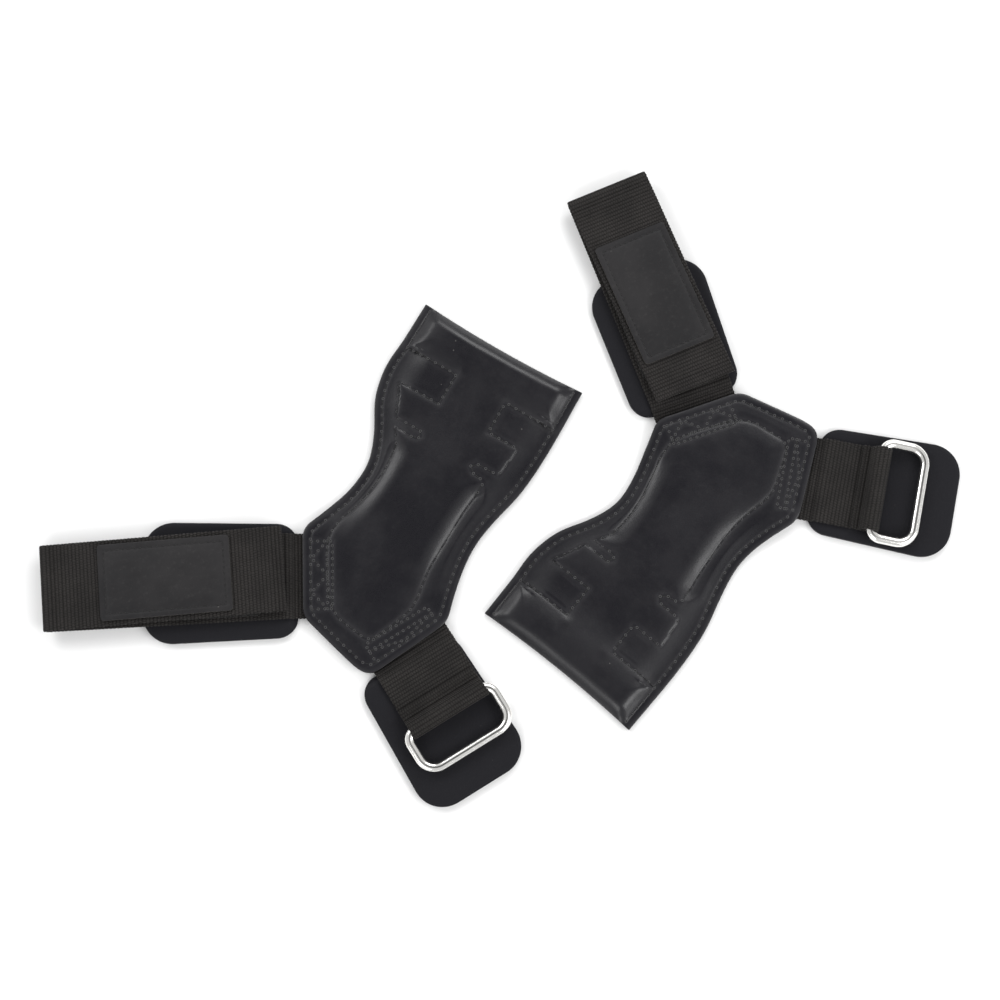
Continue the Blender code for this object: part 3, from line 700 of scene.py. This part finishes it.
def leatherTop(grip, points):
    # the height of the face leather's upper side, and how much it is painted lighter along the edge and the
    # seams, partly as wear and partly as painted highlight
    u, v = points[:, 0], points[:, 1]
    high, low = palm["wristFade"]
    rim = palm["rimTop"] + (palm["wristRim"] - palm["rimTop"]) * smoothStep((high - v) / (high - low))
    rim += (palm["overTail"] - rim) * tailCover(grip, points)
    low, high = palm["pocketFade"]
    pocket = smoothStep((v - low) / (high - low))
    top = palm["bodyTop"] + (palm["pocketTop"] - palm["bodyTop"]) * pocket
    rise = palm["bodyRise"] + (palm["pocketRise"] - palm["bodyRise"]) * pocket
    inside = insideLine(points, grip["padding"])
    depth = lineDistance(points, grip["padding"])
    edgeSeam = lineDistance(points, grip["edgeSeam"][::4])
    edge = lineDistance(points, grip["outline"]["around"][::2])
    swell = np.sin(np.clip(depth / rise, 0, 1) * math.pi / 2) ** 0.9
    within = (edge > palm["edgeSeam"]) & ~inside
    # on the flap the seams between the pads and the islands are only shallow dips
    low, high = palm["flapFade"]
    flap = smoothStep((v - low) / (high - low))
    edgeStart, edgeReach = palm["flapSeamEdge"]
    sewn = palm["flapSeam"] * flap * smoothStep((edge - edgeStart) / edgeReach)
    pocketEnd = smoothStep((palm["pocketHalf"] - np.abs(u)) / palm["pocketEndRise"])
    sewn *= np.where(v > palm["pocketEnds"], pocketEnd, 1)
    swell = sewn + (1 - sewn) * swell
    fill = palm["islandFill"][0] + (palm["islandFill"][1] - palm["islandFill"][0]) * flap
    rise = palm["islandRise"][0] - palm["islandRise"][1] * flap
    edgeRise = palm["islandEdgeRise"][0] + palm["islandEdgeRise"][1] * flap
    island = np.maximum(sewn, fill * np.sin(np.clip(depth / rise, 0, 1) * math.pi / 2))
    island = np.minimum(island, fill * smoothStep(edgeSeam / edgeRise))
    swell = np.where(inside, swell, np.where(within, island, 0))
    end = -v - palm["endConcave"] * (1 - (u / palm["halfWidth"]) ** 2)
    endSwell = np.sin(np.clip(end / palm["endRise"], 0, 1) * math.pi / 2) ** 0.85
    swell *= endSwell
    height = rim + (top - rim) * swell
    slow = np.array([noise.noise(Vector((a / 17, b / 23, 0.3))) for a, b in points])
    crease = np.array([noise.noise(Vector((a / 6, b / 8, 4.7))) for a, b in points])
    height += (palm["wave"] * slow + palm["crease"] * crease) * (0.2 + 0.8 * swell) * endSwell
    for spotU, spotV, reach, lift in palm["puckers"]:
        height += lift * np.exp(-((u - spotU) ** 2 + (v - spotV) ** 2) / reach ** 2) * endSwell
    seam = np.minimum(lineDistance(points, grip["seams"][0]), lineDistance(points, grip["seams"][1]))
    for box in grip["boxes"]:
        for line in box:
            seam = np.minimum(seam, lineDistance(points, line) + 0.5)
    groove = palm["groove"] + (palm["flapGroove"] - palm["groove"]) * flap
    height -= groove * np.exp(-(seam / palm["grooveWidth"]) ** 2)
    height -= palm["edgeGroove"] * np.exp(-(edgeSeam / palm["grooveWidth"]) ** 2)
    height -= palm["edgeDrop"] * np.exp(-edge / 0.6)
    # painted lighter along the edge and beside the seams: partly rubbed wear, partly painted highlight lines
    rubbedAndHighlit = 0.5 * np.exp(-(np.abs(edge - 1.2) / 0.9) ** 2) + 0.35 * np.exp(-((seam - 1.6) / 1.2) ** 2)
    return height, rubbedAndHighlit


def leatherSheet(name, grip, look, materials, heights, inset=1.0):
    # a closed sheet over the whole outline; heights gives its upper side, thickness and the parts painted
    # lighter, partly as wear and partly as painted highlight
    shape = flatGrid(look["columns"], look["rows"])
    sign = thicken(shape)[1]
    flat = spots(shape)
    across = np.sin(flat[:, 0] * 1.2) / math.sin(1.2) * inset
    points = spread(grip["outline"], across, ((1 - flat[:, 1] * inset) / 2) ** 1.15)
    top, thick, rubbedAndHighlit = heights(points)
    moveTo(shape, np.column_stack([points, top - thick * (1 - sign) / 2]))
    piece = finishPiece(shape, name, grip["place"], materials)
    cutEdge(piece, 0.3)
    pointAttribute(piece, "rubbedAndHighlit", rubbedAndHighlit)
    addRounding(piece, look["rounding"])
    return piece


def makePalm(side, grip):
    def heights(points):
        top, rubbedAndHighlit = leatherTop(grip, points)
        return top, palm["thickness"], rubbedAndHighlit

    piece = leatherSheet(side + "_palm_leather", grip, palm, [paints["palm"], paints["edge"]], heights)
    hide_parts(side + "_palm_face", side + "_flap_face", side + "_palm_foam", side + "_flap_foam",
                side + "_flap_end_roll")
    bendAtFlap(piece)
    return piece


def bendAtFlap(piece):
    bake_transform(piece)


lining = {"columns": 64, "rows": 150, "thickness": 1.5, "inset": 0.996, "rounding": 0.25}


def makeLining(side, grip):
    def heights(points):
        seams = np.minimum(lineDistance(points, grip["seams"][0]), lineDistance(points, grip["seams"][1]))
        seams = np.minimum(seams, lineDistance(points, grip["edgeSeam"][::4]))
        top = lining["thickness"] - 0.1 * np.exp(-(seams / 1.2) ** 2)
        # painted lighter beside the seams: partly wear, partly painted highlight
        return top, lining["thickness"], 0.4 * np.exp(-seams / 2)

    piece = leatherSheet(side + "_lining_leather", grip, lining, [paints["lining"], paints["edge"]], heights,
                         lining["inset"])
    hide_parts(side + "_palm_lining", side + "_flap_lining")
    bendAtFlap(piece)
    return piece


# stitches

stitchLook = {"holeRadius": 0.66, "puckerRadius": 0.27, "threadRadius": 0.2, "arch": 0.12, "dive": 0.5}


def puckerShape():
    # the small raised ring of leather round a needle hole
    shape = bmesh.new()
    ring = bmesh.ops.create_circle(shape, segments=4, radius=stitchLook["puckerRadius"])["verts"]
    bmesh.ops.rotate(shape, verts=ring, cent=(0, 0, 0), matrix=Matrix.Rotation(math.pi / 2, 3, "X"))
    bmesh.ops.translate(shape, verts=ring, vec=(stitchLook["holeRadius"], 0, 0))
    bmesh.ops.spin(shape, geom=shape.edges[:], cent=(0, 0, 0), axis=(0, 0, 1), angle=2 * math.pi, steps=9,
                   use_merge=True)
    return toMesh(shape, "puckerHighlight")


def threadShape():
    # a stitch one unit long that dives into the leather at both ends
    shape = bmesh.new()
    bmesh.ops.create_cone(shape, cap_ends=True, segments=6, radius1=stitchLook["threadRadius"],
                          radius2=stitchLook["threadRadius"], depth=1)
    bmesh.ops.rotate(shape, verts=shape.verts, cent=(0, 0, 0), matrix=Matrix.Rotation(math.pi / 2, 3, "Y"))
    bmesh.ops.translate(shape, verts=shape.verts, vec=(0.5, 0, 0))
    for cut in (0.12, 0.35, 0.65, 0.88):
        bmesh.ops.bisect_plane(shape, geom=shape.verts[:] + shape.edges[:] + shape.faces[:],
                               plane_co=(cut, 0, 0), plane_no=(1, 0, 0))
    for vertex in shape.verts:
        bow = 4 * vertex.co.x * (1 - vertex.co.x)
        vertex.co.z += stitchLook["arch"] * bow ** 0.6 - stitchLook["dive"] * (1 - bow) ** 3
    return toMesh(shape, "thread")


def holeShadeShape():
    # a dark disc of painted shade where the needle hole is, in the middle of the ring
    shape = bmesh.new()
    bmesh.ops.create_circle(shape, cap_ends=True, segments=8, radius=stitchLook["holeRadius"])
    bmesh.ops.translate(shape, verts=shape.verts, vec=(0, 0, 0.06))
    return toMesh(shape, "hole")


puckerMesh = puckerShape()
threadMesh = threadShape()
holeShadeMesh = holeShadeShape()


def addShape(shape, mesh, place, material):
    known = len(shape.verts)
    faces = len(shape.faces)
    shape.from_mesh(mesh)
    shape.verts.ensure_lookup_table()
    shape.faces.ensure_lookup_table()
    bmesh.ops.transform(shape, matrix=place, verts=shape.verts[known:])
    for face in shape.faces[faces:]:
        face.material_index = material


def sewLine(shape, points, sunk=0.0, rings=True, gap=0.0, flip=1):
    # stitches between the points, each a thread with a puckered hole at its start
    points = [Vector(point) for point in points]
    for start, end in zip(points, points[1:]):
        span = end - start
        length = span.length
        if length < 0.5:
            continue
        along = span / length
        side = Vector((0, 0, flip)).cross(along).normalized()
        turn = Matrix((along, side, along.cross(side))).transposed().to_4x4()
        lift = Vector((0, 0, -sunk * flip))
        if rings:
            # the raised ring round each hole carries a painted highlight, and the hole a dark disc of
            # painted shade
            addShape(shape, puckerMesh, Matrix.Translation(start) @ turn, 1)
            addShape(shape, holeShadeMesh, Matrix.Translation(start) @ turn, 2)
        inset = along * gap * length
        thread = Matrix.Translation(start + lift + inset) @ turn @ Matrix.Diagonal(
            (length * (1 - 2 * gap), 1, 1, 1))
        addShape(shape, threadMesh, thread, 0)
    if rings and len(points) > 1:
        addShape(shape, puckerMesh, Matrix.Translation(points[-1]) @ turn, 1)
        addShape(shape, holeShadeMesh, Matrix.Translation(points[-1]) @ turn, 2)


def palmSeams(grip):
    lines = [evenly(grip["edgeSeam"], palm["stitch"])]
    lines += [evenly(line, palm["stitch"]) for line in grip["seams"]]
    for box in grip["boxes"]:
        for line in box:
            lines.append(evenly(softLine(line, 2.0, 1), palm["boxStitch"]))
    return lines


def makePalmStitches(side, grip):
    shape = bmesh.new()
    for line in palmSeams(grip):
        height = leatherTop(grip, line)[0]
        sewLine(shape, np.column_stack([line, height + 0.12]), sunk=0.16)
    piece = finishPiece(shape, side + "_palm_stitches", grip["place"],
                        [paints["darkThread"], paints["puckerHighlight"], paints["hole"]], mend=False)
    bendAtFlap(piece)
    shape = bmesh.new()
    for line in palmSeams(grip)[:3]:
        sewLine(shape, np.column_stack([line, np.full(len(line), 0.34)]), rings=False, gap=0.06, flip=-1,
                sunk=0.02)
    for vertex in shape.verts:
        vertex.co.z = max(vertex.co.z, 0.02)
    back = finishPiece(shape, side + "_lining_stitches", grip["place"], [paints["thread"], paints["puckerHighlight"]])
    bendAtFlap(back)


# webbing

webbing = {"thickness": 1.8, "ribPitch": 2.1, "ribHeight": 0.2, "perRib": 6, "columns": 26,
           "tooth": 0.28, "edgeRounding": 0.8, "rowDepth": 0.45, "rowWidth": 0.7}


def ribbon(name, spine, half, place, lateral=None, rows=()):
    # webbing along a side-view line of (x, z), ribbed across, with a toothed selvedge; rows are
    # the lengths along it where it is sewn down across
    lengths = np.concatenate([[0], np.cumsum(np.linalg.norm(np.diff(spine, axis=0), axis=1))])
    total = lengths[-1]
    pitch = webbing["ribPitch"]
    shape = flatGrid(round(total / pitch * webbing["perRib"]), webbing["columns"])
    indexed, sign = thicken(shape)
    layer = shape.loops.layers.uv.new("flat")
    flat = spots(shape)
    s = (flat[:, 0] + 1) / 2 * total
    q = np.sin(flat[:, 1] * 1.5) / math.sin(1.5)
    w = q * half
    for face in shape.faces:
        for loop in face.loops:
            i = indexed[loop.vert]
            loop[layer].uv = (s[i] * mm, w[i] * mm)
    phase = np.abs(np.sin(s / pitch * math.pi))
    inEdge = np.clip((half - np.abs(w)) / webbing["edgeRounding"], 0, 1)
    body = webbing["thickness"] / 2 - webbing["ribHeight"] / 2
    lift = body + webbing["ribHeight"] * (phase ** 0.7 - 0.5)
    lift *= 0.45 + 0.55 * np.sqrt(1 - (1 - inEdge) ** 2)
    for row in rows:
        at = row if row >= 0 else total + row
        lift -= webbing["rowDepth"] * np.exp(-((s - at) / webbing["rowWidth"]) ** 2)
    w = w + np.sign(w) * (1 - inEdge) * webbing["tooth"] * (phase - 0.6)
    x, z = (np.interp(s, lengths, spine[:, k]) for k in (0, 1))
    slope = np.gradient(spine, axis=0)
    tx, tz = (np.interp(s, lengths, slope[:, k]) for k in (0, 1))
    size = np.hypot(tx, tz)
    x = x - tz / size * lift * sign
    z = z + tx / size * lift * sign
    y = w
    if lateral:
        x, y = lateral(x, w)
    moveTo(shape, np.column_stack([x, y, z]))
    piece = finishPiece(shape, name, place, [paints["webbing"]])
    return piece


def arc(centre, radius, start, end, steps=12):
    angles = np.radians(np.linspace(start, end, steps + 1))
    return [(centre[0] + radius * math.cos(a), centre[1] + radius * math.sin(a)) for a in angles]


neck = {"flatTo": 0.9, "slopeTo": 3.9, "bendHalf": 3.6}


def neckSpine(key, grip, padTop):
    # the tail in the palm, then the step up on to the wrist pad
    low, high = grip["tails"][key]
    tailMiddle = float(low[2] + high[2]) / 2
    runMiddle = padTop + 0.3 + webbing["thickness"] / 2
    points = [(float(low[0]), tailMiddle), (neck["flatTo"], tailMiddle), (neck["slopeTo"], runMiddle)]
    return points, runMiddle


def bendAtNeck(piece):
    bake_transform(piece)


longStrap = {"foldSetBack": 3.9, "foldStep": 0.35, "bendClear": 0.2,
             "foldRows": (3.2, 5.4, 9.2), "endRows": (1.6, 3.8, 6.4), "neckRows": (13.2, 17.0)}


def makeLongStrap(side, grip):
    place = grip["straps"]["strap"]
    endPlace = hingePlace(side + "_strap_end_open", 1)
    padTop = float(nodeBox(side + "_strap_pad", place)[1][2])
    tailLow, tailHigh = grip["tails"]["strap"]
    shift = float(tailLow[1] + tailHigh[1]) / 2
    half = float(tailHigh[1] - tailLow[1]) / 2
    fold = (place.inverted() @ endPlace.translation) / mm
    turn = math.atan2(fold.y - shift, fold.x)
    points, runMiddle = neckSpine("strap", grip, padTop)
    reach = fold.x - longStrap["foldSetBack"]
    spine = softLine(points + [(12, runMiddle), (reach - 2, runMiddle), (reach, runMiddle)], 0.7, 60)

    def lean(x, w):
        angle = turn * smoothStep(x / 20)
        return x - w * np.sin(angle), shift + np.maximum(x, 0) * math.tan(turn) + w * np.cos(angle)

    run = ribbon(side + "_strap_run_webbing", spine, half, place, lean, longStrap["neckRows"])
    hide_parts(side + "_strap_run", side + "_strap_tail")
    bendAtNeck(run)

    # the free end: round the fold and back over the run, leaning a little more
    returnPlace, near = returnFrame(side, endPlace)
    foldZ = joints[side + "_strap_end_open"]["pos_m"][2] / mm
    radius = foldZ - runMiddle
    centre = (-longStrap["foldSetBack"], foldZ)
    line = [(centre[0] - 0.05, runMiddle)] + arc(centre, radius, -90, 90)[1:]
    line += [(centre[0] - 4, foldZ + radius), (near, foldZ + radius)]
    bend = math.pi * radius
    rows = [bend + row for row in longStrap["foldRows"]] + [-row for row in longStrap["endRows"]]
    back = ribbon(side + "_strap_return_webbing", softLine(line, longStrap["foldStep"], 60), half,
                  returnPlace, rows=rows)
    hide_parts(side + "_strap_return")
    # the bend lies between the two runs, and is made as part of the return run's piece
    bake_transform(back)
    return returnPlace


def returnFrame(side, endPlace):
    # the return run leans away from the run under it, so its own direction is measured from its solid
    points = nodePoints(side + "_strap_return", endPlace)
    low, high = points.min(0), points.max(0)
    farEnd = points[points[:, 0] > high[0] - 3.5][:, 1]
    nearEnd = points[points[:, 0] < low[0] + 3.5][:, 1]
    turn = math.atan2((farEnd.min() + farEnd.max() - nearEnd.min() - nearEnd.max()) / 2, high[0] - low[0])
    place = endPlace @ Matrix.Rotation(turn, 4, "Z")
    low, high = nodeBox(side + "_strap_return", place)
    return place, float(low[0])


ringStrap = {"sweep": 240.0, "rows": (-1.4, -3.6, 15.0)}


def makeRingStrap(side, grip):
    place = grip["straps"]["ring"]
    padTop = float(nodeBox(side + "_ring_pad", place)[1][2])
    tailLow, tailHigh = grip["tails"]["ring"]
    bar = (place.inverted() @ Vector(joints[side + "_ring_swing"]["pos_m"])) / mm
    points, runMiddle = neckSpine("ring", grip, padTop)
    radius = bar.z - runMiddle
    loop = arc((bar.x, bar.z), radius, -90, ringStrap["sweep"] - 90, 20)
    rest = runMiddle + webbing["thickness"] + 0.25
    angle = math.radians(ringStrap["sweep"] - 90)
    x, z = loop[-1]
    landing = x + (z - rest) * math.tan(angle)
    flapEnd = float(nodeFlapEnd(side, place))
    line = points + [(12, runMiddle), (bar.x - 8, runMiddle)] + loop
    line += [(landing, rest), (landing - 1.5, rest), (flapEnd, rest)]
    half = float(tailHigh[1] - tailLow[1]) / 2
    spine = softLine(line, 0.5, 60)
    piece = ribbon(side + "_ring_strap_webbing", spine, half, place, rows=ringStrap["rows"])
    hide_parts(side + "_ring_strap", side + "_ring_strap_tail")
    bendAtNeck(piece)


def nodeFlapEnd(side, place):
    # where the strap's sewn-down end stops: the lowest x above the run
    points = nodePoints(side + "_ring_strap", place)
    level = points[:, 2]
    upper = points[(level > 6.5) & (level < 8.6)]
    return upper[:, 0].min()


# slabs: pads, tapes and the patch

def slab(name, low, high, radii, place, materials, profile, columns=60, rows=60, taper=0.0):
    # a flat piece with round corners; profile gives its lower and upper side from the distance to its edge
    shape = flatGrid(columns, rows)
    sign = thicken(shape)[1]
    flat = spots(shape)
    a = np.sin(flat[:, 0] * 1.48) / math.sin(1.48)
    b = np.sin(flat[:, 1] * 1.48) / math.sin(1.48)
    hx, hy = (high[0] - low[0]) / 2, (high[1] - low[1]) / 2
    x, y = a * hx, b * hy
    r = np.where(x < 0, radii[0], radii[1])
    dx = np.clip((np.abs(x) - (hx - r)) / r, 0, 1)
    dy = np.clip((np.abs(y) - (hy - r)) / r, 0, 1)
    edge = np.minimum(hx - np.abs(x), hy - np.abs(y))
    roundX = dx * np.sqrt(1 - dy ** 2 / 2)
    roundY = dy * np.sqrt(1 - dx ** 2 / 2)
    corner = (dx > 0) & (dy > 0)
    edge = np.where(corner, r * (1 - np.hypot(roundX, roundY)), edge)
    x = np.where(corner, np.sign(x) * (hx - r + roundX * r), x)
    y = np.where(corner, np.sign(y) * (hy - r + roundY * r), y)
    y = y * (1 - taper * (hx - x) / (2 * hx) / hy)
    x = x + (low[0] + high[0]) / 2
    y = y + (low[1] + high[1]) / 2
    bottomSide, topSide = profile(np.maximum(edge, 0), x, y)
    z = np.where(sign > 0, topSide, bottomSide)
    moveTo(shape, np.column_stack([x, y, z]))
    piece = finishPiece(shape, name, place, materials)
    return piece


pad = {"radii": (12.0, 18.0), "taper": 2.8, "edge": 2.8, "thin": 0.4, "puff": 0.25, "nearExtra": 4.2,
       "nearTop": 1.55, "ramp": (0.9, 3.9)}


def makePad(node, name, place, body, strapHalf):
    low, high = nodeBox(node, place)
    thick = float(high[2] - low[2])
    middle = float(low[2] + high[2]) / 2
    low[0] -= pad["nearExtra"]

    def profile(edge, x, y):
        rounding = np.sqrt(1 - (1 - np.clip(edge / pad["edge"], 0, 1)) ** 2)
        halfThick = thick / 2 * (pad["thin"] + (1 - pad["thin"]) * rounding)
        free = smoothStep((np.abs(y) - strapHalf) / 4) + smoothStep((x - strapHalf * 2 - 20) / 10)
        slow = np.array([noise.noise(Vector((a / 19, b / 19, 7.1))) for a, b in zip(x, y)])
        puff = pad["puff"] * np.clip(free, 0, 1) * np.exp(-((edge - 6) / 4) ** 2) * (1 + slow)
        start, end = pad["ramp"]
        climb = np.clip((x - start) / (end - start), 0, 1)
        under = pad["nearTop"] + (float(high[2]) - pad["nearTop"]) * climb
        bottomSide = np.minimum(middle - halfThick, under - 0.4)
        return bottomSide, np.minimum(middle + halfThick, under) + puff * rounding

    piece = slab(name, low, high, pad["radii"], place, [paints["neoprene"]], profile, 84, 76, pad["taper"])
    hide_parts(node)
    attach(piece, body)
    return piece


def makeTape(node, name, place, body, material, sideUp):
    low, high = nodeBox(node, place)
    middle = float(low[2] + high[2]) / 2
    half = float(high[2] - low[2]) / 2

    def profile(edge, x, y):
        rounding = 0.6 + 0.4 * np.clip(edge / 1.2, 0, 1)
        pile = np.array([noise.noise(Vector((a / 1.1, b / 1.1, middle))) for a, b in zip(x, y)]) * 0.12
        bottomSide = middle - half * rounding - (pile if sideUp < 0 else 0)
        topSide = middle + half * rounding + (pile if sideUp > 0 else 0)
        return np.maximum(bottomSide, middle - half), np.minimum(topSide, middle + half)

    piece = slab(name, low, high, (0.8, 0.8), place, [material], profile, 110, 50)
    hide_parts(node)
    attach(piece, body)
    return piece


patch = {"corner": 2.0, "seamInset": 3.6, "stitch": 3.3, "crown": 0.25, "groove": 0.35}


def makePatch(side, place):
    node = side + "_leather_patch"
    low, high = nodeBox(node, place)
    bottom, top = float(low[2]), float(high[2])

    def profile(edge, x, y):
        groove = patch["groove"] * np.exp(-((edge - patch["seamInset"]) / 0.8) ** 2)
        inside = smoothStep((edge - patch["seamInset"]) / 5)
        slow = np.array([noise.noise(Vector((a / 12, b / 12, 2.2))) for a, b in zip(x, y)])
        rounding = 0.3 * (1 - np.clip(edge / 0.5, 0, 1)) ** 2
        return (np.full(len(edge), bottom),
                top - patch["crown"] * (1 - inside) - groove - rounding + 0.08 * slow * inside)

    piece = slab(side + "_patch_leather", low, high, (patch["corner"],) * 2, place,
                 [paints["patch"], paints["rawEdge"]], profile, 90, 60)
    cutEdge(piece)
    pointAttribute(piece, "rubbedAndHighlit", np.zeros(len(piece.data.vertices)))
    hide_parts(node)
    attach(piece, side + "_strap_end")
    inset = patch["seamInset"]
    corners = [(low[0] + inset, low[1] + inset), (high[0] - inset, low[1] + inset),
               (high[0] - inset, high[1] - inset), (low[0] + inset, high[1] - inset)]
    shape = bmesh.new()
    level = top - patch["crown"] - patch["groove"] + 0.05
    for start, end in zip(corners, corners[1:] + corners[:1]):
        line = evenly(np.array([start, end], float), patch["stitch"])
        sewLine(shape, np.column_stack([line, np.full(len(line), level)]), rings=False, gap=0.1)
    seam = finishPiece(shape, side + "_patch_stitches", place, [paints["darkThread"], paints["puckerHighlight"]])
    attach(seam, side + "_strap_end")


# ring

ringLook = {"segments": 24, "cornerSteps": 14, "corners": (9.5, 9.5, 6.5, 6.5)}


def makeRing(side):
    node = side + "_ring"
    swing = joints[side + "_ring_swing"]
    place = hingePlace(side + "_ring_swing", -1)
    points = nodePoints(node, place)
    low, high = points.min(0), points.max(0)
    barZ = swing["pos_m"][2] / mm
    wire = -float(low[0])
    halfWidth = float(high[1] - low[1]) / 2 - wire
    tipZ = points[points[:, 0] > high[0] - wire][:, 2]
    reachX = float(high[0]) - wire
    tilt = math.atan2(barZ - (tipZ.min() + tipZ.max()) / 2, reachX)
    reach = reachX / math.cos(tilt)
    corners = ringLook["corners"]
    shape = bmesh.new()
    start = bmesh.ops.create_circle(shape, segments=ringLook["segments"], radius=wire)["verts"]
    bmesh.ops.rotate(shape, verts=start, cent=(0, 0, 0), matrix=Matrix.Rotation(math.pi / 2, 3, "X"))
    section = shape.edges[:]
    spot = Vector((reach, 0, 0))
    bmesh.ops.translate(shape, verts=shape.verts, vec=spot)
    heading = Vector((0, -1, 0))
    # round from the middle of the far bar: two large corners, then the near bar's two small ones
    order = (corners[0], corners[2], corners[3], corners[1])
    sides = (halfWidth, reach, 2 * halfWidth, reach, halfWidth)
    taken = (0,) + order + (0,)
    runs = [length - taken[i] - taken[i + 1] for i, length in enumerate(sides)]
    for index, run in enumerate(runs):
        made = bmesh.ops.extrude_edge_only(shape, edges=section)["geom"]
        verts = [item for item in made if isinstance(item, bmesh.types.BMVert)]
        section = [item for item in made if isinstance(item, bmesh.types.BMEdge)]
        section = [edge for edge in section if all(vertex in verts for vertex in edge.verts)]
        bmesh.ops.translate(shape, verts=verts, vec=heading * run)
        spot = spot + heading * run
        if index < 4:
            inward = Vector((heading.y, -heading.x, 0))
            turned = bmesh.ops.spin(shape, geom=section, cent=spot + inward * order[index], axis=(0, 0, 1),
                                    angle=-math.pi / 2, steps=ringLook["cornerSteps"])["geom_last"]
            section = [item for item in turned if isinstance(item, bmesh.types.BMEdge)]
            spot = spot + (heading + inward) * order[index]
            heading = inward
    bmesh.ops.remove_doubles(shape, verts=shape.verts, dist=0.01)
    bmesh.ops.rotate(shape, verts=shape.verts, cent=(0, 0, 0), matrix=Matrix.Rotation(tilt, 3, "Y"))
    bmesh.ops.translate(shape, verts=shape.verts, vec=(0, float(low[1] + high[1]) / 2, barZ))
    piece = finishPiece(shape, side + "_ring_wire", place, [paints["steel"]])
    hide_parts(node)
    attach(piece, side + "_ring")


for side in ("left", "right"):
    grip = readGrip(side)
    grip["side"] = side
    makePalm(side, grip)
    makeLining(side, grip)
    makePalmStitches(side, grip)
    returnPlace = makeLongStrap(side, grip)
    makeRingStrap(side, grip)
    strapHalf = float(grip["tails"]["strap"][1][1] - grip["tails"]["strap"][0][1]) / 2
    makePad(side + "_strap_pad", side + "_wrist_pad", grip["straps"]["strap"], side + "_strap", strapHalf)
    makePad(side + "_ring_pad", side + "_ring_side_pad", grip["straps"]["ring"], side + "_ring_tab",
            strapHalf)
    makeTape(side + "_loop_tape", side + "_loop_strip", hingePlace(side + "_strap_end_open", 1),
             side + "_strap", paints["loop"], 1)
    makeTape(side + "_hook_tape", side + "_hook_strip", returnPlace, side + "_strap_end",
             paints["hook"], -1)
    makePatch(side, returnPlace)
    makeRing(side)
    print(side, "grip made")


# floor, light and camera

studio = {"floor": 6.0, "tent": 0.62, "hole": 0.06, "opening": (0.0, 0.1, 0.995),
          "openingEdge": (0.91, 0.985),
          "aim": (-0.0013, -0.0104, 0.0), "eye": (-0.0013, -0.2337, 1.2665), "lens": 80.5}

shape = bmesh.new()
bmesh.ops.create_grid(shape, x_segments=4, y_segments=4, size=studio["floor"] / 2 / mm)
floorMaterial, floorTree, floorShader = newMaterial("pale floor", {"Specular IOR Level": 0.1})
floorPlace = addNode(floorTree, "ShaderNodeTexCoord").outputs["Object"]
floorTone = addNode(floorTree, "ShaderNodeTexNoise", None, {"Vector": floorPlace, "Scale": 3.0})
floorTree.links.new(mixColour(floorTree, floorTone.outputs["Fac"], (0.90, 0.90, 0.90), (0.92, 0.92, 0.92)),
                    floorShader.inputs["Base Color"])
floorShader.inputs["Roughness"].default_value = 0.9
floor = finishPiece(shape, "floor", Matrix.Translation((0, 0, -0.0002)), [floorMaterial], mend=False)

lights = [("light_left", (-0.95, 0.6, 0.8), 0.8, 7.5), ("light_right", (1.0, -0.55, 0.8), 0.9, 10.0),
          ("light_back", (0.45, 1.1, 0.85), 0.9, 9.5), ("light_front", (-0.55, -1.1, 0.8), 0.8, 5.0)]
for name, spot, size, power in lights:
    lamp = bpy.data.lights.new(name, "AREA")
    lamp.shape = "RECTANGLE"
    lamp.size = size
    lamp.size_y = size * 0.7
    lamp.energy = power
    holder = bpy.data.objects.new(name, lamp)
    holder.location = spot
    holder.rotation_euler = (-Vector(spot)).to_track_quat("-Z", "Y").to_euler()
    bpy.context.scene.collection.objects.link(holder)

# a white tent with a dark opening overhead
world = bpy.data.worlds.new("studio")
world.use_nodes = True
tent = world.node_tree
background = tent.nodes["Background"]
direction = addNode(tent, "ShaderNodeTexCoord").outputs["Generated"]
overhead = addNode(tent, "ShaderNodeVectorMath", {"operation": "DOT_PRODUCT"},
                   {0: direction, 1: studio["opening"]}).outputs["Value"]
background.inputs["Color"].default_value = (1.0, 1.0, 1.0, 1.0)
tent.links.new(rangeOf(tent, overhead, *studio["openingEdge"], studio["tent"], studio["hole"]),
               background.inputs["Strength"])
bpy.context.scene.world = world
bpy.context.scene.view_settings.view_transform = "Standard"

cameraData = bpy.data.cameras.new("camera")
cameraData.lens = studio["lens"]
cameraData.sensor_width = 36
camera = bpy.data.objects.new("camera", cameraData)
camera.location = studio["eye"]
camera.rotation_euler = (Vector(studio["aim"]) - Vector(studio["eye"])).to_track_quat("-Z", "Y").to_euler()
bpy.context.scene.collection.objects.link(camera)
bpy.context.scene.camera = camera
print("studio made")
